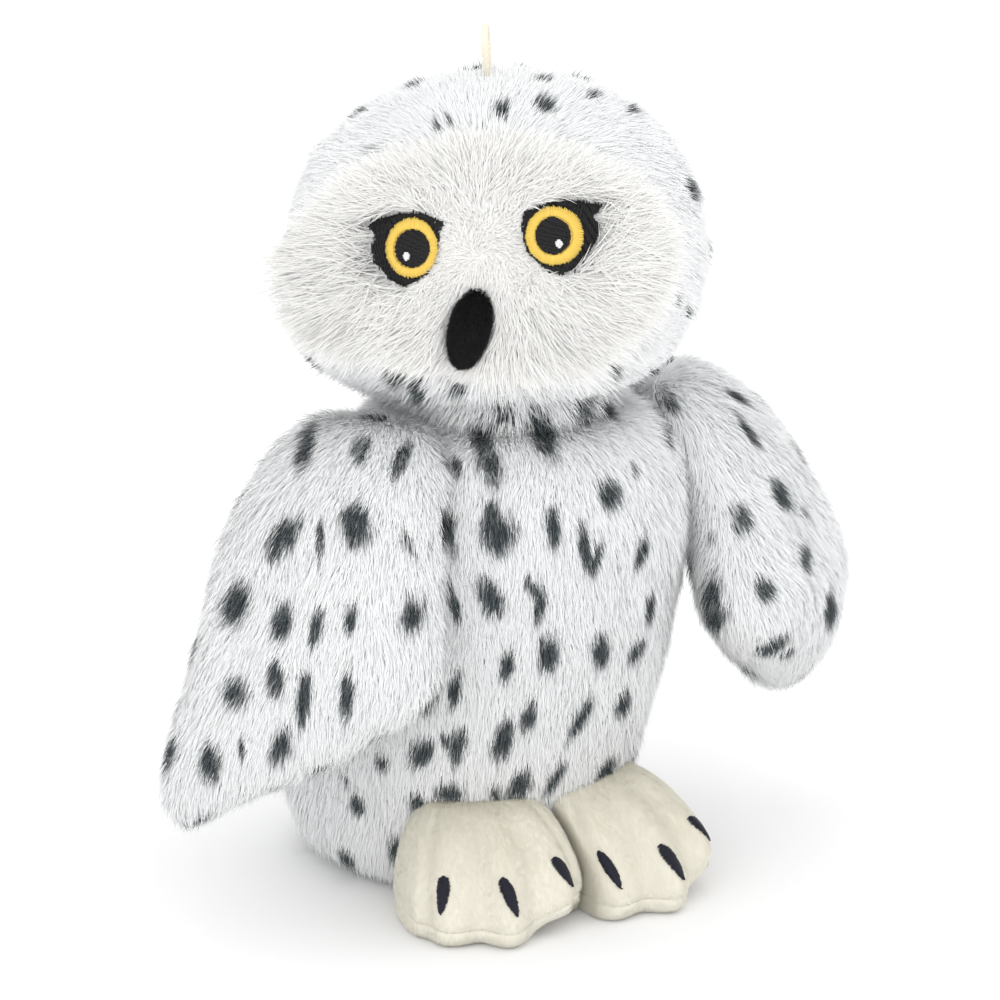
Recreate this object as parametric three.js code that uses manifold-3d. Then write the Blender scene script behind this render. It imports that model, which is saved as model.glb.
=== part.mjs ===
// Stuffed snowy owl, a squeaky plush toy for a dog, in millimetres with +Z up.
// The owl sits with its front towards -Y, so its own left side is at +X.
// The origin is on the surface that it sits on, under the middle of the toy.
import * as THREE from "three";
import { mergeVertices } from "three/addons/utils/BufferGeometryUtils.js";
import Module from "manifold-3d";

const wasm = await Module();
wasm.setup();

// Cloth and clearances
const fabricThickness = 1.5;
const seamGap = 0.3;
const seatGap = 0.4;

// Torso: heights above the ground, half sizes from its leaning axis, which stands back at the base
// and crosses the upright axis at the lean height
const torsoHeight = 135;
const torsoHalfWidth = 52.5;
const torsoFront = 48;
const torsoBack = 56;
const baseSetBack = 12;
const leanHeight = 90;
const baseSeamHeight = 5;
const neckOpening = 30;
const neckGap = 8;
const neckRadius = 24;
const neckClearance = 0.9;

// Squeaker in the belly
const squeakerHeight = 76;
const squeakerDiameter = 44;
const squeakerThickness = 22;
const squeakerWall = 1;
const socketDiameter = 12;
const socketLength = 5;
const reedLength = 9;
const reedFlange = 1.2;
const reedBore = 3;

// Head: heights above its lower rim
const headHeight = 80;
const headWidest = 35;
const underSeamHeight = 9;
const headHalfWidth = 55;
const headFront = 46;
const headBack = 50;
const headTurn = -36;
const headBackTilt = 3;
const headSideTilt = 3.2;
const headRoundness = 2.2;
const faceHalfWidth = 47;
const faceHalfHeight = 33;
const faceCentre = 36;

// Eyes, sewn in thread: heights above the lower rim of the head
const eyeSpacing = 38.5;
const eyeHeight = 44;
const eyePatchRadius = 10.5;
const ringOuterRadius = 7.4;
const ringInnerRadius = 4.9;
const highlightRadius = 1.3;
const highlightDrop = 2.2;
const patchThickness = 0.7;
const ringThickness = 1.1;
const pupilThickness = 0.6;
const highlightThickness = 0.5;

// Beak, a small stuffed cone on the face
const beakTop = 32;
const beakLength = 22;
const beakWidth = 13;
const beakDepth = 12;
const beakLean = 17;
const beakFabric = 1.2;

// Hanging loop of cord in the crown
const cordDiameter = 1.9;
const loopHeight = 15.5;
const loopSpan = 8;

// Wings: the root is placed from the upright axis of the torso, at its own angle round it, and the
// wing is turned, flared and bowed at its root
const wingLength = 103;
const wingWidth = 62;
const wingThickness = 28;
const wingHeight = 136;
const wingShoulderCurl = 10;
const wingRootOut = 55;
const wingRootBack = 13.5;
const leftWingPlace = 60;
const rightWingPlace = 46;
const leftWingFacing = 42;
const rightWingFacing = 46;
const leftWingAngle = 8;
const rightWingAngle = 10;
const leftWingBow = 11;
const rightWingBow = 4;
const bowDrop = 1.5;

// Feet: each is placed and splayed by itself
const footHeight = 31;
const footHalfLength = 28;
const footHalfWidth = 27;
const footForward = 36;
const leftFootSide = 19.5;
const rightFootSide = 22;
const leftFootSplay = 4;
const rightFootSplay = 20;
const footRoundness = 2.4;
const toeAngle = 40;
const toeDepth = 4.5;
const soleSeamHeight = 5;
const clawLength = 9;
const clawWidth = 3.4;
const clawHeight = 15;
const clawThickness = 0.7;

const degrees = Math.PI / 180;
const pivotHeight = torsoHeight + neckGap / 2;
const setBackAt = (height) => baseSetBack * (1 - height / leanHeight);

function material(color, roughness) {
  return new THREE.MeshStandardMaterial({ color, roughness, metalness: 0 });
}

const spottedPlush = material(0xe9ebea, 0.95);
const longPlush = material(0xf4f3ef, 0.95);
const creamVelboa = material(0xe3dfcf, 0.9);
const blackPlush = material(0x16161a, 0.9);
const blackThread = material(0x15171a, 0.5);
const yellowThread = material(0xf2c01f, 0.45);
const whiteThread = material(0xf5f5f2, 0.5);
const navyThread = material(0x1b1d2c, 0.5);
const fibreFill = material(0xf6f6f4, 1);
const clearVinyl = material(0xd9dcd8, 0.35);
const reedPlastic = material(0xf0efe8, 0.4);
const creamCord = material(0xe9e2cd, 0.8);

// Closed skin over a stack of rings, each counter-clockwise seen from the last ring's side.
function skin(rings) {
  const count = rings[0].length;
  const points = rings.flat();
  const faces = [];
  for (let r = 0; r + 1 < rings.length; r++)
    for (let i = 0; i < count; i++) {
      const here = r * count + i;
      const next = r * count + ((i + 1) % count);
      faces.push(here, next, next + count, here, next + count, here + count);
    }
  for (const r of [0, rings.length - 1]) {
    const centre = rings[r].reduce((sum, p) => sum.add(p), new THREE.Vector3());
    points.push(centre.divideScalar(count));
    for (let i = 0; i < count; i++) {
      const edge = [r * count + ((i + 1) % count), r * count + i];
      if (r) edge.reverse();
      faces.push(...edge, points.length - 1);
    }
  }
  return new THREE.BufferGeometry().setFromPoints(points).setIndex(faces);
}

function solid(geometry) {
  const bare = geometry.clone();
  bare.deleteAttribute("normal");
  bare.deleteAttribute("uv");
  const merged = mergeVertices(bare, 1e-4);
  const vertProperties = new Float32Array(merged.attributes.position.array);
  const triVerts = new Uint32Array(merged.index.array);
  return new wasm.Manifold(new wasm.Mesh({ numProp: 3, vertProperties, triVerts }));
}

function geometryOf(body) {
  const { vertProperties, triVerts } = body.getMesh();
  const geometry = new THREE.BufferGeometry();
  geometry.setAttribute("position", new THREE.BufferAttribute(vertProperties, 3));
  geometry.setIndex(new THREE.BufferAttribute(triVerts, 1));
  geometry.computeVertexNormals();
  return geometry;
}

function mesh(name, shape, finish, parent) {
  const geometry = shape.isBufferGeometry ? shape : geometryOf(shape);
  const made = new THREE.Mesh(geometry, finish);
  made.name = name;
  parent.add(made);
  return made;
}

// Block between two corners, much larger than the piece that it cuts where a side is open.
const far = 400;
function block(low, high) {
  const corners = new THREE.Box3(new THREE.Vector3(...low), new THREE.Vector3(...high));
  const size = corners.getSize(new THREE.Vector3());
  const centre = corners.getCenter(new THREE.Vector3());
  const geometry = new THREE.BoxGeometry(size.x, size.y, size.z);
  return solid(geometry.translate(centre.x, centre.y, centre.z));
}

// Smooth curve through rows of [position, value, value...], read at one position.
function profileAt(rows, at) {
  const last = rows.length - 1;
  const clamped = Math.min(Math.max(at, rows[0][0]), rows[last][0]);
  const k = Math.max(1, rows.findIndex((row) => row[0] >= clamped)) - 1;
  const slope = (i, column) => {
    const before = rows[Math.max(0, i - 1)];
    const after = rows[Math.min(last, i + 1)];
    return (after[column] - before[column]) / (after[0] - before[0]);
  };
  const span = rows[k + 1][0] - rows[k][0];
  const t = (clamped - rows[k][0]) / span;
  return rows[k].slice(1).map((value, index) => {
    const column = index + 1;
    const step = t * t * (3 - 2 * t);
    const start = t * (1 - t) * (1 - t) * span * slope(k, column);
    const end = t * t * (t - 1) * span * slope(k + 1, column);
    return value + step * (rows[k + 1][column] - value) + start + end;
  });
}

function shares(count) {
  return Array.from({ length: count + 1 }, (_, i) => i / count);
}

// Oval ring with its own front and back depth about a middle that may be set back.
const roundSides = 24;
function ovalRing(halfWidth, front, back, height, setBack = 0) {
  return shares(roundSides).slice(1).map((share) => {
    const angle = share * 2 * Math.PI;
    const depth = (Math.sin(angle) < 0 ? front : back) * Math.sin(angle);
    return new THREE.Vector3(halfWidth * Math.cos(angle), setBack + depth, height);
  });
}

// Torso outline by height share: width, front and back, 0 at the neck opening and 1 at the fullest.
const torsoRows = [
  [0, 0.05, -0.1, 0.31],
  [0.04, 0.54, 0.33, 0.75],
  [0.14, 0.78, 0.34, 1],
  [0.31, 0.83, 0.62, 0.96],
  [0.51, 0.94, 0.9, 0.8],
  [0.68, 1, 1, 0.64],
  [0.83, 0.91, 0.93, 0.52],
  [0.94, 0.6, 0.67, 0.36],
  [0.985, 0.27, 0.33, 0.15],
  [1, 0, 0, 0],
];
const torsoRings = [0, 0.018, 0.055, 0.12, 0.22, 0.36, 0.51, 0.66, 0.79, 0.89, 0.955, 0.987, 1];

function torsoSection(share) {
  const full = [torsoHalfWidth, torsoFront, torsoBack];
  return profileAt(torsoRows, share).map((value, i) => neckOpening + (full[i] - neckOpening) * value);
}

function torsoSolid(inset, openTop) {
  const rings = torsoRings.map((share) => {
    const [halfWidth, front, back] = torsoSection(share).map((size) => size - inset);
    const height = inset + share * (torsoHeight - 2 * inset);
    return ovalRing(halfWidth, front, back, height, setBackAt(height));
  });
  const rim = neckOpening - inset;
  if (openTop) rings.push(ovalRing(rim, rim, rim, pivotHeight, setBackAt(torsoHeight)));
  return solid(skin(rings));
}

// What is left of a limb outside the torso, with the gap that the seam between them keeps.
function besideTorso(limb, inset) {
  return limb.subtract(torsoSolid(-seatGap - inset, false));
}

// Ball in the neck, with its poles on the upright axis.
const ballSides = 18;
const ballRings = 10;
function neckBall(gap) {
  const ball = new THREE.SphereGeometry(neckRadius + gap, ballSides, ballRings);
  return ball.rotateX(Math.PI / 2);
}

// Oval profile of the bulb from its closed end to the root of its socket.
const squeakerSides = 16;
const squeakerSteps = 7;
function squeakerProfile(halfWidth, halfDepth, socketRadius) {
  const reach = Math.acos(Math.min(1, socketRadius / halfWidth));
  return shares(squeakerSteps).map((share) => {
    const angle = -Math.PI / 2 + share * (Math.PI / 2 + reach);
    return new THREE.Vector2(halfWidth * Math.cos(angle), halfDepth * Math.sin(angle));
  });
}

// Vinyl bulb with an open socket for the reed; its axis is turned to run front to back.
function buildSqueaker(parent) {
  const radius = squeakerDiameter / 2;
  const half = squeakerThickness / 2;
  const socket = socketDiameter / 2;
  const bore = socket - squeakerWall;
  const outer = squeakerProfile(radius, half, socket);
  const inner = squeakerProfile(radius - squeakerWall, half - squeakerWall, bore).reverse();
  const rimHeight = half + socketLength;
  const wall = [new THREE.Vector2(socket, rimHeight), new THREE.Vector2(bore, rimHeight)];
  const bladder = new THREE.LatheGeometry([...outer, ...wall, ...inner], squeakerSides);
  bladder.rotateX(-Math.PI / 2).translate(0, 0, squeakerHeight);
  mesh("squeaker_bladder", solid(bladder), clearVinyl, parent);

  const plug = bore - seamGap;
  const top = rimHeight + seamGap;
  const end = top + reedFlange;
  const reed = new THREE.LatheGeometry(
    [
      new THREE.Vector2(reedBore / 2, end - reedLength),
      new THREE.Vector2(plug, end - reedLength),
      new THREE.Vector2(plug, top),
      new THREE.Vector2(socket, top),
      new THREE.Vector2(socket, end),
      new THREE.Vector2(reedBore / 2, end),
      new THREE.Vector2(reedBore / 2, end - reedLength),
    ],
    squeakerSides,
  );
  reed.rotateX(-Math.PI / 2).translate(0, 0, squeakerHeight);
  mesh("squeaker_reed", solid(reed), reedPlastic, parent);

  // The space that the filling leaves for the two.
  const roomEnd = end + seamGap;
  const room = squeakerProfile(radius + seamGap, half + seamGap, socket + seamGap);
  room.push(new THREE.Vector2(socket + seamGap, roomEnd), new THREE.Vector2(0, roomEnd));
  const pocket = new THREE.LatheGeometry(room, squeakerSides);
  pocket.rotateX(-Math.PI / 2).translate(0, 0, squeakerHeight);
  return solid(pocket);
}

function buildTorso(parent) {
  const shell = torsoSolid(0, false).subtract(torsoSolid(fabricThickness, true));
  const half = seamGap / 2;
  const above = baseSeamHeight + seamGap;
  const cuts = {
    torso_base_panel: block([-far, -far, -far], [far, far, baseSeamHeight]),
    torso_front_panel: block([-far, -far, above], [far, -half, far]),
    torso_back_left_panel: block([half, half, above], [far, far, far]),
    torso_back_right_panel: block([-far, half, above], [-half, far, far]),
  };
  for (const [name, cut] of Object.entries(cuts))
    mesh(name, shell.intersect(cut), spottedPlush, parent);

  const pocket = buildSqueaker(parent);
  const ball = solid(neckBall(neckClearance).translate(0, setBackAt(pivotHeight), pivotHeight));
  const filling = torsoSolid(fabricThickness + seamGap, false).subtract(pocket).subtract(ball);
  const frontHalf = block([-far, -far, -far], [far, -half, far]);
  const backHalf = block([-far, half, -far], [far, far, far]);
  mesh("torso_filling_front", filling.intersect(frontHalf), fibreFill, parent);
  mesh("torso_filling_back", filling.intersect(backHalf), fibreFill, parent);
}

// Half width, front and back of the head at a height above its rim.
function headSection(height) {
  const full = [headHalfWidth, headFront, headBack];
  if (height < headWidest) {
    const swell = Math.sqrt(Math.max(0, 1 - (1 - height / headWidest) ** 2));
    return full.map((size) => neckOpening + (size - neckOpening) * swell);
  }
  const climb = Math.min(1, (height - headWidest) / (headHeight - headWidest));
  const narrow = (1 - climb ** headRoundness) ** (1 / headRoundness);
  return full.map((size) => size * narrow);
}

// Heights of the rings, closer together where the head turns in; the last stays short of a point.
const crownAngle = 86 * degrees;
const headRings = [
  ...shares(5).map((share) => headWidest * (1 - Math.cos((share * Math.PI) / 2))),
  ...shares(6).slice(1).map((share) => {
    const lift = Math.sin(share * crownAngle);
    return headWidest + (headHeight - headWidest) * lift;
  }),
];

// The head's own frame has its origin at the neck pivot.
const headRim = neckGap / 2;
const smallestRing = 1;
function headSolid(inset, openBottom) {
  const rings = headRings.map((height) => {
    const sizes = headSection(height).map((size) => Math.max(smallestRing, size - inset));
    const [halfWidth, front, back] = sizes;
    const scaled = inset + (height * (headHeight - 2 * inset)) / headHeight;
    return ovalRing(halfWidth, front, back, headRim + scaled);
  });
  const rim = neckOpening - inset;
  if (openBottom) rings.unshift(ovalRing(rim, rim, rim, 0));
  return solid(skin(rings));
}

// Point on the front of the head, lifted off it along its normal.
function faceSurface(across, height) {
  const [halfWidth, front] = headSection(height);
  const depth = front * Math.sqrt(Math.max(0.001, 1 - (across / halfWidth) ** 2));
  return new THREE.Vector3(across, -depth, headRim + height);
}

function lifted(surface, p, q, lift) {
  const step = 0.05;
  const along = surface(p + step, q).sub(surface(p - step, q));
  const up = surface(p, q + step).sub(surface(p, q - step));
  return surface(p, q).addScaledVector(along.cross(up).normalize(), lift);
}

// Thread pad that follows a surface, from an outline of [p, q] round its middle.
const padShoulder = 0.88;
function pad(surface, outline, lift, thickness) {
  const middle = outline.reduce((sum, [p, q]) => [sum[0] + p, sum[1] + q], [0, 0]);
  const [mp, mq] = middle.map((value) => value / outline.length);
  const ring = (share, height) =>
    outline.map(([p, q]) => lifted(surface, mp + (p - mp) * share, mq + (q - mq) * share, height));
  const top = lift + thickness;
  const edge = ring(1, lift + thickness / 2);
  const flat = padShoulder / 2;
  return skin([ring(flat, lift), ring(1, lift), edge, ring(padShoulder, top), ring(flat, top)]);
}

function circle(cp, cq, radius, sides) {
  return shares(sides).slice(1).map((share) => {
    const angle = share * 2 * Math.PI;
    return [cp + radius * Math.cos(angle), cq + radius * Math.sin(angle)];
  });
}

// Satin-stitched ring with a crowned top.
const ringSides = 20;
function stitchedRing(surface, cp, cq, inner, outer, lift, thickness) {
  const middle = (inner + outer) / 2;
  const crest = (outer - inner) / 5;
  const crown = [
    [inner, lift],
    [outer, lift],
    [outer, lift + thickness / 2],
    [middle + crest, lift + thickness],
    [middle - crest, lift + thickness],
    [inner, lift + thickness / 2],
  ];
  const rings = shares(ringSides).slice(1).map((share) => {
    const angle = share * 2 * Math.PI;
    const at = ([radius, height]) =>
      lifted(surface, cp + radius * Math.cos(angle), cq + radius * Math.sin(angle), height);
    return crown.map(at);
  });
  const count = crown.length;
  const faces = [];
  rings.forEach((_, r) => {
    for (let i = 0; i < count; i++) {
      const here = r * count + i;
      const next = r * count + ((i + 1) % count);
      const over = ((r + 1) % ringSides) * count;
      faces.push(here, over + i, over + ((i + 1) % count), here, over + ((i + 1) % count), next);
    }
  });
  return new THREE.BufferGeometry().setFromPoints(rings.flat()).setIndex(faces);
}

// Dark patch behind an eye: a round lower lid under a level brow that rises to the outer side.
function eyePatchOutline(side) {
  const r = eyePatchRadius;
  const shape = new THREE.Shape();
  shape.moveTo(-0.98 * r, 0.5 * r);
  shape.bezierCurveTo(-1.08 * r, -0.5 * r, -0.5 * r, -1.02 * r, 0, -1.02 * r);
  shape.bezierCurveTo(0.55 * r, -1.02 * r, 1.02 * r, -0.5 * r, 0.98 * r, 0.25 * r);
  shape.quadraticCurveTo(1.05 * r, 0.6 * r, 1.18 * r, 0.86 * r);
  shape.quadraticCurveTo(0, 0.82 * r, -0.98 * r, 0.5 * r);
  const points = shape.getPoints(5).slice(1).map((p) => [side * p.x, p.y]);
  return side > 0 ? points : points.reverse();
}

const pupilSides = 14;
const highlightSides = 8;
function buildEye(side, suffix, parent) {
  const cp = (side * eyeSpacing) / 2;
  const outline = eyePatchOutline(side).map(([p, q]) => [cp + p, eyeHeight + q]);
  const onFace = seatGap;
  const onPatch = onFace + patchThickness + seamGap;
  const onPupil = onPatch + pupilThickness + seamGap;
  const pupil = circle(cp, eyeHeight, ringInnerRadius - seamGap, pupilSides);
  const glint = circle(cp, eyeHeight - highlightDrop, highlightRadius, highlightSides);
  const ring = stitchedRing(
    faceSurface, cp, eyeHeight, ringInnerRadius, ringOuterRadius, onPatch, ringThickness,
  );
  mesh("eye_patch_" + suffix, pad(faceSurface, outline, onFace, patchThickness), blackThread, parent);
  mesh("eye_ring_" + suffix, ring, yellowThread, parent);
  const pupilPad = pad(faceSurface, pupil, onPatch, pupilThickness);
  mesh("eye_pupil_" + suffix, pupilPad, blackThread, parent);
  const glintPad = pad(faceSurface, glint, onPupil, highlightThickness);
  mesh("eye_highlight_" + suffix, glintPad, whiteThread, parent);
}

// Beak outline by share of its length from the lower end: half width and depth.
const beakRows = [
  [0, 0.3, 0.3],
  [0.08, 0.62, 0.62],
  [0.3, 0.95, 0.95],
  [0.5, 1, 1],
  [0.75, 0.78, 0.72],
  [0.93, 0.42, 0.4],
  [1, 0.18, 0.2],
];

const beakRings = [0, 0.05, 0.15, 0.32, 0.5, 0.7, 0.88, 1];
const beakSides = 12;
const beakTip = 0.3;
function beakSolid(inset) {
  const rings = beakRings.map((share) => {
    const [wide, deep] = profileAt(beakRows, share);
    const height = beakTop - beakLength + inset + share * (beakLength - 2 * inset);
    const halfWidth = Math.max(beakTip, (wide * beakWidth) / 2 - inset);
    const halfDepth = Math.max(beakTip, (deep * (beakDepth + fabricThickness)) / 2 - inset);
    const root = faceSurface(0, height);
    const middle = root.y - (deep * beakDepth) / 2 + fabricThickness;
    return shares(beakSides).slice(1).map((turn) => {
      const angle = turn * 2 * Math.PI;
      const depth = middle + halfDepth * Math.sin(angle);
      return new THREE.Vector3(halfWidth * Math.cos(angle), depth, root.z);
    });
  });
  const geometry = skin(rings);
  const top = headRim + beakTop;
  geometry.translate(0, 0, -top).rotateY(beakLean * degrees).translate(0, 0, top);
  return solid(geometry);
}

function buildBeak(parent, headForm) {
  const outer = beakSolid(0).subtract(headForm);
  const cover = outer.subtract(beakSolid(beakFabric));
  const filling = beakSolid(beakFabric + seamGap).subtract(headForm);
  mesh("beak_cover", cover, blackPlush, parent);
  mesh("beak_filling", filling, fibreFill, parent);
}

// Cord loop sewn into the crown seam, in the plane that runs from face to nape.
function buildLoop(parent) {
  const crown = headRim + headHeight + seatGap;
  const half = loopSpan / 2;
  const foot = crown + cordDiameter;
  const points = [
    [-half * 0.7, crown],
    [-half * 0.7, foot],
    [-half * 0.95, crown + loopHeight * 0.42],
    [-half * 1.1, crown + loopHeight * 0.72],
    [-half * 0.55, crown + loopHeight * 0.95],
    [0, crown + loopHeight],
    [half * 0.55, crown + loopHeight * 0.95],
    [half * 1.1, crown + loopHeight * 0.72],
    [half * 0.95, crown + loopHeight * 0.42],
    [half * 0.7, foot],
    [half * 0.7, crown],
  ];
  const path = new THREE.CatmullRomCurve3(points.map(([y, z]) => new THREE.Vector3(0, y, z)));
  const section = new THREE.Shape().absarc(0, 0, cordDiameter / 2, 0, 2 * Math.PI);
  const cord = new THREE.ExtrudeGeometry(section, { steps: 24, curveSegments: 4, extrudePath: path });
  mesh("hang_loop", solid(cord), creamCord, parent);
}

const faceSides = 32;
function buildHead(parent) {
  const shell = headSolid(0, false).subtract(headSolid(fabricThickness, true));
  const faceCylinder = (grow) => {
    const tube = new THREE.CylinderGeometry(1, 1, far, faceSides);
    tube.scale(faceHalfWidth + grow, 1, faceHalfHeight + grow);
    return solid(tube.translate(0, -far / 2 - seamGap, headRim + faceCentre));
  };
  const half = seamGap / 2;
  const underSeam = headRim + underSeamHeight;
  const rest = shell.subtract(faceCylinder(0));
  const above = underSeam + seamGap;
  const cuts = {
    head_left_panel: block([half, -far, above], [far, far, far]),
    head_right_panel: block([-far, -far, above], [-half, far, far]),
    head_under_panel: block([-far, -far, -far], [far, far, underSeam]),
  };
  mesh("face_panel", shell.intersect(faceCylinder(-seamGap)), longPlush, parent);
  for (const [name, cut] of Object.entries(cuts))
    mesh(name, rest.intersect(cut), spottedPlush, parent);

  const ball = solid(neckBall(neckClearance));
  mesh("head_filling", headSolid(fabricThickness + seamGap, false).subtract(ball), fibreFill, parent);
  buildBeak(parent, headSolid(-seatGap, false));
  buildEye(1, "left", parent);
  buildEye(-1, "right", parent);
  buildLoop(parent);
}

// Wing outline by share of its length: reach to the front, reach to the back, thickness.
const wingRows = [
  [0, 0.03, 0.36, 0.42],
  [0.03, 0.14, 0.46, 0.72],
  [0.1, 0.21, 0.57, 0.95],
  [0.22, 0.23, 0.68, 1],
  [0.36, 0.22, 0.74, 1],
  [0.5, 0.25, 0.77, 1],
  [0.6, 0.24, 0.81, 0.94],
  [0.67, 0.09, 0.84, 0.86],
  [0.77, -0.15, 0.89, 0.76],
  [0.85, -0.36, 0.92, 0.66],
  [0.92, -0.54, 0.94, 0.52],
  [0.97, -0.7, 0.93, 0.38],
  [1, -0.79, 0.87, 0.22],
];
const curledShare = 0.3;
const wingRings = [1, 0.965, 0.9, 0.83, 0.75, 0.67, 0.59, 0.46, 0.32, 0.18, 0.08, 0.025, 0];
const wingSides = 14;
const wingEdge = 0.6;

// Frame of the left wing: x out of its broad face, y towards its back edge, z up its length.
function wingFrame({ place, facing, flare }) {
  const quarter = 90;
  const root = new THREE.Vector3(wingRootOut, wingRootBack, wingHeight);
  root.applyAxisAngle(new THREE.Vector3(0, 0, 1), (place - quarter) * degrees);
  const turn = new THREE.Matrix4().makeRotationZ((facing - quarter) * degrees);
  const lift = new THREE.Matrix4().makeRotationY(-flare * degrees);
  return new THREE.Matrix4().setPosition(root).multiply(turn).multiply(lift);
}

// Whole wing, or only its outer or inner half up to a seam gap at its middle.
function wingSolid(stance, inset, half = "whole") {
  const frame = wingFrame(stance);
  const kept = {
    whole: (out) => out,
    outer: (out) => Math.max(seamGap / 2, out),
    inner: (out) => Math.min(-seamGap / 2, out),
  };
  const rings = wingRings.map((share) => {
    const [front, back, thick] = profileAt(wingRows, share);
    const down = inset + share * (wingLength - 2 * inset);
    const reach = Math.max(wingEdge, ((front + back) * wingWidth) / 2 - inset);
    const middle = ((back - front) * wingWidth) / 2;
    const halfThickness = Math.max(wingEdge, (thick * wingThickness) / 2 - inset);
    const curl = wingShoulderCurl * Math.max(0, 1 - share / curledShare) ** 2;
    const bow = stance.bow * Math.sin(share ** bowDrop * Math.PI);
    return shares(wingSides).slice(1).map((turn) => {
      const angle = turn * 2 * Math.PI;
      const out = kept[half](halfThickness * Math.cos(angle)) - curl + bow;
      const point = new THREE.Vector3(out, middle + reach * Math.sin(angle), -down);
      return point.applyMatrix4(frame);
    });
  });
  return besideTorso(solid(skin(rings)), inset);
}

function buildWing(suffix, stance, parent) {
  const name = (piece) => "wing_" + suffix + "_" + piece;
  const room = wingSolid(stance, fabricThickness);
  const panel = (half) => wingSolid(stance, 0, half).subtract(room);
  mesh(name("outer_panel"), panel("outer"), spottedPlush, parent);
  mesh(name("inner_panel"), panel("inner"), spottedPlush, parent);
  mesh(name("filling"), wingSolid(stance, fabricThickness + seamGap), fibreFill, parent);
}

// Foot outline by height share: size of the outline about the instep.
const footRows = [
  [0, 0.9],
  [0.06, 0.97],
  [0.2, 1.02],
  [0.42, 1],
  [0.6, 0.95],
  [0.74, 0.85],
  [0.85, 0.7],
  [0.93, 0.53],
  [0.98, 0.36],
  [1, 0.24],
];
const footRings = [0, 0.035, 0.12, 0.3, 0.5, 0.66, 0.79, 0.89, 0.96, 1];
const toesEnd = toeAngle * 1.75;
const footTurns = [
  ...shares(14).map((share) => (share * 2 - 1) * toesEnd),
  ...shares(8).slice(1, -1).map((share) => toesEnd + share * (360 - 2 * toesEnd)),
];
const instep = -0.62;

// Point on a foot of the left side by turn from its middle toe in degrees and by height.
function footPoint({ footSide, splay }, turn, height, inset) {
  const angle = turn * degrees;
  const inToes = Math.sqrt(Math.max(0, 1 - Math.abs(turn) / (toeAngle * 1.5)));
  const valley = (toeDepth / 2) * (1 - Math.cos((2 * Math.PI * turn) / toeAngle)) * inToes;
  const alongFoot = Math.abs(Math.cos(angle) / footHalfLength) ** footRoundness;
  const acrossFoot = Math.abs(Math.sin(angle) / footHalfWidth) ** footRoundness;
  const reach = (alongFoot + acrossFoot) ** (-1 / footRoundness);
  const share = Math.min(1, Math.max(0, (height - inset) / (footHeight - 2 * inset)));
  const [size] = profileAt(footRows, share);
  const radius = reach - valley - inset;
  const start = instep * footHalfLength;
  const forward = start + (radius * Math.cos(angle) - start) * size;
  const side = radius * Math.sin(angle) * Math.sqrt(size);
  const angled = splay * degrees;
  return new THREE.Vector3(
    footSide + forward * Math.sin(angled) + side * Math.cos(angled),
    -footForward - forward * Math.cos(angled) + side * Math.sin(angled),
    height,
  );
}

function footSolid(stance, inset) {
  const rings = footRings.map((share) => {
    const height = inset + share * (footHeight - 2 * inset);
    return footTurns.map((turn) => footPoint(stance, turn, height, inset));
  });
  const otherSide = block([-far, -far, -far], [seamGap / 2 + inset, far, far]);
  return besideTorso(solid(skin(rings)).subtract(otherSide), inset);
}

// Teardrop of thread, broad at the top, that runs down the front of a toe.
const clawSides = 10;
function clawOutline(turn) {
  return circle(0, 0, 1, clawSides).map(([p, q]) => {
    const taper = 0.5 + 0.5 * Math.min(1, q + 0.9);
    const across = (clawWidth / 2) * p * taper;
    return [turn + across / (footHalfWidth * degrees), clawHeight + (clawLength / 2) * q];
  });
}

function buildFoot(suffix, stance, parent) {
  const shell = footSolid(stance, 0).subtract(footSolid(stance, fabricThickness));
  const upper = block([-far, -far, soleSeamHeight + seamGap], [far, far, far]);
  const lower = block([-far, -far, -far], [far, far, soleSeamHeight]);
  const name = (piece) => "foot_" + suffix + "_" + piece;
  mesh(name("upper_panel"), shell.intersect(upper), creamVelboa, parent);
  mesh(name("sole_panel"), shell.intersect(lower), creamVelboa, parent);
  mesh(name("filling"), footSolid(stance, fabricThickness + seamGap), fibreFill, parent);
  const toeFront = (turn, height) => footPoint(stance, turn, height, 0);
  const toes = { inner: -toeAngle, middle: 0, outer: toeAngle };
  for (const [toe, turn] of Object.entries(toes))
    mesh(name("claw_" + toe), pad(toeFront, clawOutline(turn), seatGap, clawThickness), navyThread, parent);
}

const owl = new THREE.Group();

const torso = new THREE.Group();
owl.add(torso);
buildTorso(torso);

const neck = new THREE.Group();
neck.position.set(0, setBackAt(pivotHeight), pivotHeight);
neck.rotation.z = headTurn * degrees;
owl.add(neck);
mesh("neck_filling", solid(neckBall(0)), fibreFill, neck);

const head = new THREE.Group();
head.rotation.set(-headBackTilt * degrees, -headSideTilt * degrees, 0);
neck.add(head);
buildHead(head);

const stances = {
  left: {
    side: 1,
    place: leftWingPlace,
    facing: leftWingFacing,
    flare: leftWingAngle,
    bow: leftWingBow,
    footSide: leftFootSide,
    splay: leftFootSplay,
  },
  right: {
    side: -1,
    place: rightWingPlace,
    facing: rightWingFacing,
    flare: rightWingAngle,
    bow: rightWingBow,
    footSide: rightFootSide,
    splay: rightFootSplay,
  },
};
for (const [suffix, stance] of Object.entries(stances)) {
  const limbs = new THREE.Group();
  limbs.scale.x = stance.side;
  owl.add(limbs);
  buildWing(suffix, stance, limbs);
  buildFoot(suffix, stance, limbs);
}

export default owl;
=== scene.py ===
# A stuffed snowy owl, a squeaky plush toy for a dog: short spotted plush over a soft filling, a face
# of long white pile, embroidered eyes and claws, a black plush beak and a cord loop in the crown.
# It sits with its belly towards -Y. Sizes are in millimetres and are turned to metres with MM.
import math

import bmesh
import bpy
import numpy as np
from mathutils import Matrix, Vector
from mathutils.bvhtree import BVHTree


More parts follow.
